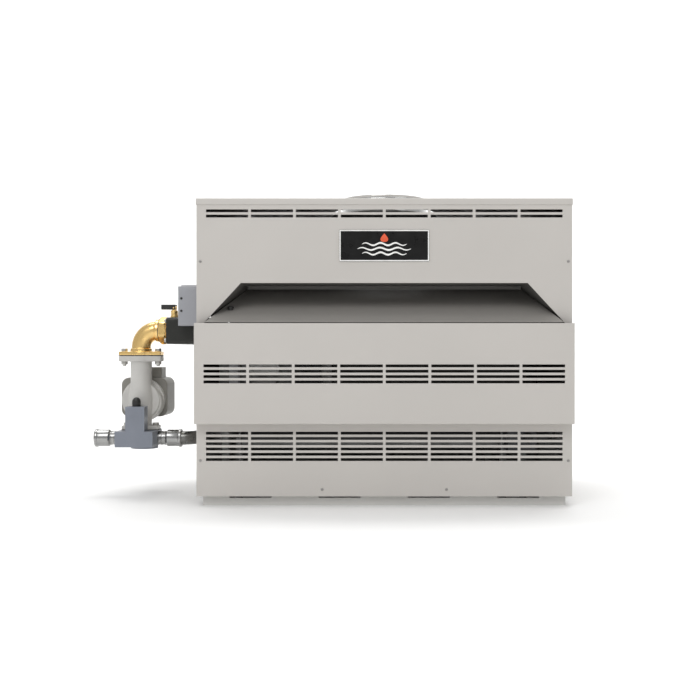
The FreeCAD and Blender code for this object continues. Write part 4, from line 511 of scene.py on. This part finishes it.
def fold_edges(bm, keep):
    """Rounds the folds of a thin sheet; keep says which edges are folds."""
    folds = [e for e in bm.edges if len(e.link_faces) == 2 and keep(e)]
    bmesh.ops.bevel(bm, geom=folds, offset=BEND_RADIUS, segments=BEND_SEGMENTS, affect="EDGES",
                    profile=0.5)


def thicken(obj):
    """Gives a folded skin its metal thickness, inward, and breaks its edges."""
    mod = obj.modifiers.new("metal", "SOLIDIFY")
    mod.thickness = SHEET
    mod.offset = -1.0
    mod.use_even_offset = True
    add_bevel(obj, 0.25 * MM, 1, 60.0)
    apply_modifiers(obj)
    shade(obj, 40.0)


def build_door():
    """Folded pan of the lift-off door: louvred face, three returns and a short top hem."""
    low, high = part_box("middle_door")
    xs, zs, inside = louvre_lines(DOOR_LOUVRE_TOP, DOOR_LOUVRE_ROWS)
    xs = sorted([low.x] + xs + [high.x])
    zs = sorted([low.z] + zs + [high.z])
    bm = bmesh.new()
    verts = grid_sheet(bm, xs, zs, low.y, inside)
    last_x = len(xs) - 1
    last_z = len(zs) - 1
    hem = low.y + DOOR_HEM

    def strip(keys, depth):
        """A return folded back from one edge of the face."""
        front = [verts[k] for k in keys]
        back = [bm.verts.new((v.co.x, depth, v.co.z)) for v in front]
        for a in range(len(front) - 1):
            bm.faces.new([front[a], front[a + 1], back[a + 1], back[a]])

    strip([(0, k) for k in range(last_z + 1)], high.y)
    strip([(last_x, k) for k in range(last_z + 1)], high.y)
    strip([(i, 0) for i in range(last_x + 1)], high.y)
    strip([(i, last_z) for i in range(last_x + 1)], hem)
    bmesh.ops.remove_doubles(bm, verts=bm.verts, dist=1e-6)
    bmesh.ops.recalc_face_normals(bm, faces=bm.faces)
    centre = Vector((0, (low.y + high.y) / 2, (low.z + high.z) / 2))
    face = max(bm.faces, key=lambda f: f.calc_area())
    if face.normal.dot(face.calc_center_median() - centre) < 0:
        bmesh.ops.reverse_faces(bm, faces=bm.faces)
    fold_edges(bm, lambda e: e.calc_face_angle(0.0) > 1.0)
    obj = new_object("door_pan", bm, PAINT)
    thicken(obj)
    return stands_for(obj, "middle_door")


def build_lower_panel():
    """Flat louvred panel over the burners."""
    low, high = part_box("lower_front_panel")
    xs, zs, inside = louvre_lines(LOWER_LOUVRE_TOP, LOWER_LOUVRE_ROWS)
    xs = sorted([low.x] + xs + [high.x])
    zs = sorted([low.z] + zs + [high.z])
    bm = bmesh.new()
    grid_sheet(bm, xs, zs, low.y, inside)
    obj = new_object("lower_panel", bm, PAINT)
    thicken(obj)
    return stands_for(obj, "lower_front_panel")


def build_upper_panel():
    """Louvred panel whose slanted edges frame the draft relief."""
    low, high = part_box("upper_front_panel")
    lid_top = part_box("top_lid")[1].z
    xs, zs, inside = louvre_lines(lid_top - UPPER_LOUVRE_DROP, UPPER_LOUVRE_ROWS)
    xs = sorted([low.x] + xs + [high.x, -RECESS_TOP_HALF, RECESS_TOP_HALF])
    zs = sorted([RECESS_TOP] + zs + [high.z])
    bm = bmesh.new()
    verts = grid_sheet(bm, xs, zs, low.y, inside)
    foot_half = RECESS_TOP_HALF + (RECESS_TOP - low.z) * RECESS_SIDE_RUN
    for side in (-1, 1):
        edge_i = 0 if side < 0 else len(xs) - 1
        inner_i = xs.index(side * RECESS_TOP_HALF)
        order = range(edge_i, inner_i + 1) if side < 0 else range(edge_i, inner_i - 1, -1)
        tops = [verts[i, 0] for i in order]
        feet = []
        for v in tops:
            share = (abs(v.co.x) - abs(tops[-1].co.x)) / (abs(tops[0].co.x) - abs(tops[-1].co.x))
            x = side * (foot_half + share * (abs(tops[0].co.x) - foot_half))
            feet.append(bm.verts.new((x, low.y, low.z)))
        for a in range(len(tops) - 1):
            bm.faces.new([tops[a], tops[a + 1], feet[a + 1], feet[a]])
    bmesh.ops.recalc_face_normals(bm, faces=bm.faces)
    if bm.faces[:][0].normal.y > 0:
        bmesh.ops.reverse_faces(bm, faces=bm.faces)
    obj = new_object("upper_panel", bm, PAINT)
    thicken(obj)
    return stands_for(obj, "upper_front_panel")


def build_lid():
    """Folded lid with a round opening and a lip on all four sides."""
    low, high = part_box("top_lid")
    bm = bmesh.new()
    hole = []
    rim = []
    half_x = high.x
    half_y = high.y
    corners = [math.atan2(sy * half_y, sx * half_x) for sx in (1, -1) for sy in (1, -1)]
    turns = [2 * math.pi * i / LID_HOLE_STEPS - math.pi for i in range(LID_HOLE_STEPS)]
    angles = sorted(set(turns + corners))
    for angle in angles:
        c, s = math.cos(angle), math.sin(angle)
        reach = min(half_x / abs(c) if abs(c) > 1e-9 else 1e9, half_y / abs(s) if abs(s) > 1e-9 else 1e9)
        hole.append(bm.verts.new((c * LID_HOLE_RADIUS, s * LID_HOLE_RADIUS, high.z)))
        rim.append(bm.verts.new((c * reach, s * reach, high.z)))
    skirt = [bm.verts.new((v.co.x, v.co.y, low.z)) for v in rim]
    count = len(angles)
    for i in range(count):
        j = (i + 1) % count
        bm.faces.new([hole[i], hole[j], rim[j], rim[i]])
        bm.faces.new([rim[i], rim[j], skirt[j], skirt[i]])
    bmesh.ops.recalc_face_normals(bm, faces=bm.faces)
    top = max(bm.faces, key=lambda f: abs(f.normal.z))
    if top.normal.z < 0:
        bmesh.ops.reverse_faces(bm, faces=bm.faces)
    fold_edges(bm, lambda e: e.calc_face_angle(0.0) > 1.0)
    obj = new_object("lid_pan", bm, PAINT)
    thicken(obj)
    return stands_for(obj, "top_lid")


def build_vent_collar():
    """Rolled collar with a stiffening bead, a hemmed mouth and its lower flange."""
    low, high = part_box("vent_collar")
    bore = COLLAR_RADIUS
    outer = bore + COLLAR_WALL
    flange = bore + COLLAR_FLANGE
    height = high.z - low.z
    hem = 1.0 * MM
    bead = height - COLLAR_BEAD_DROP
    profile = [(0, flange), (0, bore), (height - 0.4 * MM, bore), (height, bore + 0.5 * MM),
               (height, outer + hem * 0.6), (height - 1.2 * MM, outer + hem),
               (height - 2.6 * MM, outer + 0.2 * MM), (bead + 2.4 * MM, outer),
               (bead + 1.2 * MM, outer + 0.8 * MM), (bead, outer + 1.0 * MM),
               (bead - 1.2 * MM, outer + 0.8 * MM), (bead - 2.4 * MM, outer), (3.0 * MM, outer),
               (1.5 * MM, outer + 1.2 * MM), (1.5 * MM, flange)]
    obj = lathe("vent_collar_ring", profile, (0, 0, low.z), (0, 0, 1), COLLAR_METAL, 128, closed=True)
    return stands_for(obj, "vent_collar")


# ---------------------------------------------------------------- badge
CORNER_STEPS = 6
BADGE_RAISE = 0.25 * MM
BADGE_MARGIN = 0.6 * MM
BADGE_BORDER = 3.9 * MM
WAVES = ((4 * MM, 62 * MM), (-9 * MM, 74 * MM), (-22 * MM, 62 * MM))     # height and reach of each
WAVE_HEIGHT = 3.4 * MM
WAVE_THICKNESS = 5.2 * MM
WAVE_CRESTS = 3
FLAME_RISE = 10 * MM
FLAME_WIDTH = 30 * MM
FLAME_HEIGHT = 24 * MM


def flat_plate(name, outline, y, thickness, material):
    """A plate from an outline of (x, z) points, raised towards the front."""
    bm = bmesh.new()
    face = bm.faces.new([bm.verts.new((x, y, z)) for x, z in outline])
    result = bmesh.ops.extrude_face_region(bm, geom=[face])
    moved = [v for v in result["geom"] if isinstance(v, bmesh.types.BMVert)]
    bmesh.ops.translate(bm, verts=moved, vec=(0, -thickness, 0))
    bmesh.ops.recalc_face_normals(bm, faces=bm.faces)
    obj = new_object(name, bm, material)
    shade(obj)
    return obj


def rounded_rectangle(half_x, half_z, radius, centre_z):
    """Outline of a rectangle with rounded corners, as (x, z) points."""
    points = []
    for sx, sz, start in ((1, 1, 0), (-1, 1, 90), (-1, -1, 180), (1, -1, 270)):
        for i in range(CORNER_STEPS + 1):
            angle = math.radians(start + 90 * i / CORNER_STEPS)
            points.append((sx * (half_x - radius) + radius * math.cos(angle),
                           centre_z + sz * (half_z - radius) + radius * math.sin(angle)))
    return points


def ring_plate(name, outer, inner, y, thickness, material):
    """A flat frame between two outlines with the same number of points."""
    bm = bmesh.new()
    rings = []
    for outline, depth in ((outer, y), (outer, y - thickness), (inner, y - thickness), (inner, y)):
        rings.append([bm.verts.new((x, depth, z)) for x, z in outline])
    count = len(outer)
    for a, b in zip(rings, rings[1:] + rings[:1]):
        for i in range(count):
            j = (i + 1) % count
            bm.faces.new([a[i], a[j], b[j], b[i]])
    bmesh.ops.recalc_face_normals(bm, faces=bm.faces)
    obj = new_object(name, bm, material)
    shade(obj)
    return obj


def wave_outline(x0, x1, z, height, thickness, crests):
    """A ribbon that follows a sine wave and tapers at both ends."""
    steps = 60
    upper = []
    lower = []
    for i in range(steps + 1):
        share = i / steps
        x = x0 + (x1 - x0) * share
        middle = z + height * math.sin(2 * math.pi * crests * share)
        half = thickness / 2 * (0.15 + 0.85 * math.sin(math.pi * share) ** 0.5)
        upper.append((x, middle + half))
        lower.append((x, middle - half))
    return upper + lower[::-1]


def flame_outline(centre_x, base_z, width, height):
    """A plain symmetrical drop with a pointed top."""
    steps = 40
    points = []
    for i in range(steps):
        t = 2 * math.pi * i / steps
        x = width / 2 * math.sin(t) * math.sin(t / 2) ** 1.4
        z = height / 2 * (1 + math.cos(t))
        points.append((centre_x + x, base_z + z))
    return points


def build_badge():
    """Black plate with a white border and a generic sign: a flame over water."""
    low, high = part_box("badge_plate")
    half_x = (high.x - low.x) / 2
    half_z = (high.z - low.z) / 2
    centre_z = (high.z + low.z) / 2
    soften("badge_plate", 0.5 * MM)
    front = low.y
    outer = rounded_rectangle(half_x - BADGE_MARGIN, half_z - BADGE_MARGIN, 2.6 * MM, centre_z)
    inner = rounded_rectangle(half_x - BADGE_BORDER, half_z - BADGE_BORDER, 1.6 * MM, centre_z)
    ring = ring_plate("badge_border", outer, inner, front, BADGE_RAISE, WHITE_ENAMEL)
    rides_with(ring, "badge_plate")
    for row, (rise, reach) in enumerate(WAVES):
        outline = wave_outline(-reach, reach, centre_z + rise, WAVE_HEIGHT, WAVE_THICKNESS, WAVE_CRESTS)
        wave = flat_plate(f"badge_wave_{row}", outline, front, BADGE_RAISE, WHITE_ENAMEL)
        rides_with(wave, "badge_plate")
    drop = flame_outline(0, centre_z + FLAME_RISE, FLAME_WIDTH, FLAME_HEIGHT)
    flame = flat_plate("badge_flame", drop, front, BADGE_RAISE, FLAME_ENAMEL)
    rides_with(flame, "badge_plate")


# ---------------------------------------------------------------- fasteners
SCREW_STEPS = 24
SCREW_RISE = 2.4 * MM
SCREW_RECESS = 1.1 * MM             # the recess's floor, above the panel
RECESS_TAPER = 0.001
PANEL_SCREW_RADIUS = 3.8 * MM
WIRING_SCREW_RADIUS = 3.4 * MM
WIRING_SCREW_INSET = 9 * MM
WIRING_SCREW_HEIGHTS = (542.4 * MM, 577.2 * MM)


def pan_screw(bm, x, y, z, radius):
    """A domed screw head with a cross recess, facing -Y."""
    steps = SCREW_STEPS
    rings = []
    profile = [(0.0, radius), (0.9 * MM, radius), (1.7 * MM, radius * 0.88), (2.2 * MM, radius * 0.62),
               (SCREW_RISE, radius * 0.34)]
    for out, r in profile:
        rings.append([bm.verts.new((x + r * math.cos(2 * math.pi * i / steps), y - out,
                                    z + r * math.sin(2 * math.pi * i / steps))) for i in range(steps)])
    for a, b in zip(rings[:-1], rings[1:]):
        for i in range(steps):
            j = (i + 1) % steps
            bm.faces.new([a[i], a[j], b[j], b[i]])
    bm.faces.new(rings[0][::-1])
    star = []
    for i in range(steps):
        angle = 2 * math.pi * i / steps
        arm = 0.30 if (i % 6) in (0, 1, 5) else 0.12
        star.append(bm.verts.new((x + radius * arm * math.cos(angle), y - SCREW_RISE,
                                  z + radius * arm * math.sin(angle))))
    floor = [bm.verts.new((v.co.x * (1 - RECESS_TAPER) + x * RECESS_TAPER, y - SCREW_RECESS,
                           v.co.z * (1 - RECESS_TAPER) + z * RECESS_TAPER)) for v in star]
    top = rings[-1]
    for i in range(steps):
        j = (i + 1) % steps
        bm.faces.new([top[i], top[j], star[j], star[i]])
        bm.faces.new([star[i], star[j], floor[j], floor[i]])
    bm.faces.new(floor)


def build_panel_screws():
    """Pan-head screws at the places of the CAD screws."""
    places = []
    bm = bmesh.new()
    bm.from_mesh(NODES["panel_screws"].data)
    bmesh.ops.remove_doubles(bm, verts=bm.verts, dist=1e-6)
    seen = set()
    for vert in bm.verts:
        if vert in seen:
            continue
        group = [vert]
        seen.add(vert)
        for v in group:
            for edge in v.link_edges:
                other = edge.other_vert(v)
                if other not in seen:
                    seen.add(other)
                    group.append(other)
        xs = [v.co.x for v in group]
        zs = [v.co.z for v in group]
        places.append(((min(xs) + max(xs)) / 2, (min(zs) + max(zs)) / 2))
    bm.free()
    panel_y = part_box("upper_front_panel")[0].y
    heads = bmesh.new()
    for x, z in places:
        pan_screw(heads, x, panel_y, z, PANEL_SCREW_RADIUS)
    bmesh.ops.recalc_face_normals(heads, faces=heads.faces)
    obj = new_object("panel_screw_heads", heads, PANEL_SCREW_METAL)
    shade(obj)
    return stands_for(obj, "panel_screws")


def build_wiring_screws():
    """Two dark screws near the wiring cover's left edge."""
    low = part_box("wiring_cover")[0]
    heads = bmesh.new()
    for z in WIRING_SCREW_HEIGHTS:
        pan_screw(heads, low.x + WIRING_SCREW_INSET, low.y, z, WIRING_SCREW_RADIUS)
    bmesh.ops.recalc_face_normals(heads, faces=heads.faces)
    obj = new_object("wiring_cover_screws", heads, MATERIALS["black_plastic"])
    shade(obj)
    return rides_with(obj, "wiring_cover")


# ---------------------------------------------------------------- plumbing
WATER_Z = 169.9 * MM
PUMP_Y = -100.0 * MM
ELBOW_Z = 490.2 * MM
WATER_BORE = 17.0 * MM
OUTLET_X = -755.0 * MM
COUPLING_STEPS = 96
POOL_NECK = 33.0                    # millimetres, as the coupling's half section is
RETURN_NECK = 26.0
COUPLING_BELL = 44.5
NUT_CORNER = 41.0 * MM
NUT_LENGTH = 21.7 * MM
UNION_STEPS = 96
KNOB_DOME = 13.0 * MM
KNOB_DOME_STEPS = 12


def coupling_profile(neck):
    """Half section of a press coupling: crimp ribs, a step, a bell and a rolled bead over its seal."""
    tip = neck + COUPLING_BELL
    points = [(0, 20.2), (neck - 17, 20.2), (neck - 16, 21.3), (neck - 14, 21.3), (neck - 13, 20.2),
              (neck - 6, 20.2), (neck - 5, 21.3), (neck - 3, 21.3), (neck - 2, 20.4), (neck + 3, 25.0),
              (tip - 9.5, 25.0), (tip - 8.6, 25.5), (tip - 7.6, 26.7), (tip - 6.2, 27.0), (tip - 3.0, 27.0),
              (tip - 1.2, 26.6), (tip, 25.4), (tip, 20.9), (neck + 4, 20.9), (neck + 4, 17.0), (0, 17.0)]
    return [(along * MM, radius * MM) for along, radius in points]


def build_couplings():
    """Press couplings on the manifold's left, right and back."""
    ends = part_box("bypass_manifold")
    pool = coupling_profile(POOL_NECK)
    left = lathe("inlet_coupling", pool, (ends[0].x, PUMP_Y, WATER_Z), (-1, 0, 0), COUPLING_METAL,
                 COUPLING_STEPS, closed=True)
    right = lathe("return_coupling", coupling_profile(RETURN_NECK), (ends[1].x, PUMP_Y, WATER_Z),
                  (1, 0, 0), COUPLING_METAL, COUPLING_STEPS, closed=True)
    rear = lathe("outlet_coupling", pool, (OUTLET_X, ends[1].y, WATER_Z), (0, 1, 0), COUPLING_METAL,
                 COUPLING_STEPS, closed=True)
    stands_for(left, "press_couplings")
    rides_with(right, "press_couplings")
    rides_with(rear, "press_couplings")


def build_union():
    """Hexagonal union nut with turned chamfers, its tail and the dark seal beside the elbow's band."""
    low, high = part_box("brass_union")
    flat = NUT_CORNER * math.cos(math.radians(30))
    steps = UNION_STEPS
    sections = [(0.0, 35.5 * MM), (1.2 * MM, 37.5 * MM), (4.5 * MM, NUT_CORNER), (17.2 * MM, NUT_CORNER),
                (20.5 * MM, 37.5 * MM), (NUT_LENGTH, 35.5 * MM), (NUT_LENGTH, 31.0 * MM),
                (high.x - low.x, 31.0 * MM), (high.x - low.x, WATER_BORE), (0.0, WATER_BORE)]
    bm = bmesh.new()
    rings = []
    for along, limit in sections:
        ring = []
        for i in range(steps):
            angle = 2 * math.pi * i / steps
            turn = (angle + math.pi / 6) % (math.pi / 3) - math.pi / 6
            edge = flat / math.cos(abs(turn) - math.pi / 6)
            reach = min(edge, limit)
            ring.append(bm.verts.new((low.x + along, PUMP_Y + reach * math.sin(angle),
                                      ELBOW_Z + reach * math.cos(angle))))
        rings.append(ring)
    for a, b in zip(rings, rings[1:] + rings[:1]):
        for i in range(steps):
            j = (i + 1) % steps
            bm.faces.new([a[i], a[j], b[j], b[i]])
    bmesh.ops.recalc_face_normals(bm, faces=bm.faces)
    nut = new_object("union_nut", bm, MATERIALS["brass"])
    shade(nut, 25.0)
    stands_for(nut, "brass_union")
    section = [(-2.4 * MM, 33.2 * MM), (-2.4 * MM, 33.8 * MM), (-0.2 * MM, 33.8 * MM), (-0.2 * MM, 33.2 * MM)]
    seal = lathe("union_seal", section, (low.x, PUMP_Y, ELBOW_Z), (1, 0, 0), SEAL_RUBBER, UNION_STEPS,
                 closed=True)
    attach(seal, BODY_OF["brass_union"])


def build_bypass_knob():
    """Bullet-shaped cap with a slim collar round its foot."""
    low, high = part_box("bypass_knob")
    radius = (high.x - low.x) / 2
    height = high.z - low.z
    straight = height - KNOB_DOME
    body = radius - 0.1 * MM
    profile = [(0, 0), (0, radius - 0.6 * MM), (0.6 * MM, radius), (3.0 * MM, radius),
               (3.6 * MM, radius - 0.7 * MM), (4.4 * MM, radius - 0.7 * MM), (5.0 * MM, body),
               (straight, body)]
    for i in range(1, KNOB_DOME_STEPS + 1):
        angle = math.radians(90 * i / KNOB_DOME_STEPS)
        profile.append((straight + KNOB_DOME * math.sin(angle), body * math.cos(angle)))
    obj = lathe("bypass_cap", profile, ((low.x + high.x) / 2, (low.y + high.y) / 2, low.z), (0, 0, 1),
                MATERIALS["black_plastic"], 48)
    return stands_for(obj, "bypass_knob")


def finned_copper():
    """Copper whose close fins are cut into it as deep rings along the tube, with painted shade in the gaps
    between the fins.
    """
    mat, tree, principled, coords = shader("finned_copper", (0.72, 0.36, 0.22), 0.36, 1.0)
    bands = tree.nodes.new("ShaderNodeTexWave")
    bands.bands_direction = "X"
    bands.inputs["Scale"].default_value = 90.0
    tree.links.new(coords, bands.inputs["Vector"])
    # The dark bands are painted shade in the gaps between the fins.
    tree.links.new(mix_colour(tree, bands.outputs["Fac"], (0.30, 0.13, 0.07), (0.78, 0.40, 0.25)),
                   principled.inputs["Base Color"])
    cloud = noise(tree, coords, 30.0, 4.0)
    tree.links.new(spread(tree, cloud, 0.3, 0.5), principled.inputs["Roughness"])
    bump(tree, principled, [(bands.outputs["Fac"], 0.003, 0.8)])
    return mat


# ---------------------------------------------------------------- scene
STAGE_REACH = 9.0                   # half the floor's width, and how far it comes forward
STAGE_BACK = 2.2                    # where the floor starts to curve up
STAGE_CURVE = 1.6
STAGE_CURVE_STEPS = 12
STAGE_HEIGHT = 7.0
WORLD_STRENGTH = 0.55
LIGHTS = (("key", (-1.2, -3.4, 3.4), (0, 0, 0.45), (2.6, 2.0), 58),
          ("fill", (2.8, -3.0, 1.6), (0, 0, 0.4), (2.0, 2.0), 9),
          ("top", (0, 0.4, 3.6), (0, 0, 0.5), (3.0, 2.4), 34),
          ("backdrop", (0, 1.2, 4.6), (0, 3.6, 0.8), (6.0, 1.5), 150))
CAMERA_DISTANCE = 2.905
CAMERA_HEIGHT = 0.4323
CAMERA_LENS = 54.0
CAMERA_SENSOR = 36.0
CAMERA_SHIFT = -0.049
# Width in millimetres of the broken edges of each machined or folded piece.
EDGE_WIDTHS = {"base_pan": 0.3, "wiring_box": 0.4, "wiring_cover": 0.5, "wiring_bracket": 0.4,
               "relief_lever": 0.5, "bypass_manifold": 1.4, "terminal_box": 1.2,
               "flange_bolts": 0.6, "motor_plate": 1.0, "relief_valve": 0.5, "left_jacket": 0.25,
               "right_jacket": 0.25, "rear_jacket": 0.25, "relief_walls": 0.3, "relief_baffle": 0.3,
               "spill_switch": 0.4, "gas_inlet": 0.8, "control_bracket": 0.4, "ignition_module": 0.8,
               "transformer": 0.8, "manifold_brackets": 0.4, "gas_valve": 1.2,
               "gas_valve_knob": 0.6, "temperature_knob": 0.6, "temperature_controller": 0.8,
               "power_rocker": 0.6, "header_bolts": 0.5}
# Voxel size in millimetres and rounds of smoothing for each casting's skin.
CAST_SKINS = {"pump_casing": (1.3, 6), "brass_elbow": (1.0, 9), "water_header": (1.8, 5),
              "motor_housing": (1.6, 8)}


def build_stage():
    """A pale floor that curves up into a backdrop."""
    bm = bmesh.new()
    profile = [(-STAGE_REACH, 0.0), (STAGE_BACK, 0.0)]
    for i in range(1, STAGE_CURVE_STEPS + 1):
        angle = math.radians(90 * i / STAGE_CURVE_STEPS)
        profile.append((STAGE_BACK + STAGE_CURVE * math.sin(angle), STAGE_CURVE * (1 - math.cos(angle))))
    profile.append((STAGE_BACK + STAGE_CURVE, STAGE_HEIGHT))
    rows = [[bm.verts.new((x, y, z)) for x in (-STAGE_REACH, STAGE_REACH)] for y, z in profile]
    for a, b in zip(rows[:-1], rows[1:]):
        bm.faces.new([a[0], a[1], b[1], b[0]])
    mat, tree, principled, coords = shader("studio_floor", (0.93, 0.93, 0.925), 0.7, 0.0, 0.1)
    tree.links.new(spread(tree, noise(tree, coords, 2.0), 0.66, 0.74), principled.inputs["Roughness"])
    obj = new_object("studio_floor", bm, mat)
    for face in obj.data.polygons:
        face.use_smooth = True


def area_light(name, place, target, size, power):
    """A white rectangular light aimed at a point."""
    light = bpy.data.lights.new(name, "AREA")
    light.shape = "RECTANGLE"
    light.size, light.size_y = size
    light.energy = power
    obj = bpy.data.objects.new(name, light)
    obj.location = place
    aim = Vector(target) - Vector(place)
    obj.rotation_euler = aim.to_track_quat("-Z", "Y").to_euler()
    bpy.context.scene.collection.objects.link(obj)


def build_light():
    """Soft even studio light, as bright as the backdrop is white."""
    world = bpy.data.worlds.new("studio")
    bpy.context.scene.world = world
    world.use_nodes = True
    background = world.node_tree.nodes["Background"]
    background.inputs["Color"].default_value = (1, 1, 1, 1)
    background.inputs["Strength"].default_value = WORLD_STRENGTH
    for light in LIGHTS:
        area_light(*light)
    view = bpy.context.scene.view_settings
    view.view_transform = "Standard"
    view.look = "None"


def build_camera():
    """A level camera square to the front, with the frame shifted towards the pump."""
    camera = bpy.data.cameras.new("camera")
    camera.lens = CAMERA_LENS
    camera.sensor_width = CAMERA_SENSOR
    camera.shift_x = CAMERA_SHIFT
    obj = bpy.data.objects.new("camera", camera)
    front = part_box("upper_front_panel")[0].y
    obj.location = (0, front - CAMERA_DISTANCE, CAMERA_HEIGHT)
    obj.rotation_euler = (math.radians(90), 0, 0)
    bpy.context.scene.collection.objects.link(obj)
    bpy.context.scene.camera = obj


paint_cad_nodes()
build_camera()
build_light()
build_stage()
build_door()
build_upper_panel()
build_lower_panel()
build_lid()
build_vent_collar()
build_badge()
build_panel_screws()
build_wiring_screws()
build_couplings()
build_union()
build_bypass_knob()
NODES["finned_tubes"].data.materials.clear()
NODES["finned_tubes"].data.materials.append(finned_copper())

for node, width in EDGE_WIDTHS.items():
    body = soften(node, width * MM)
    if node.endswith("_jacket"):
        paint_inside_shade(body)
for node, (voxel, rounds) in CAST_SKINS.items():
    cast_body(node, voxel * MM, rounds)
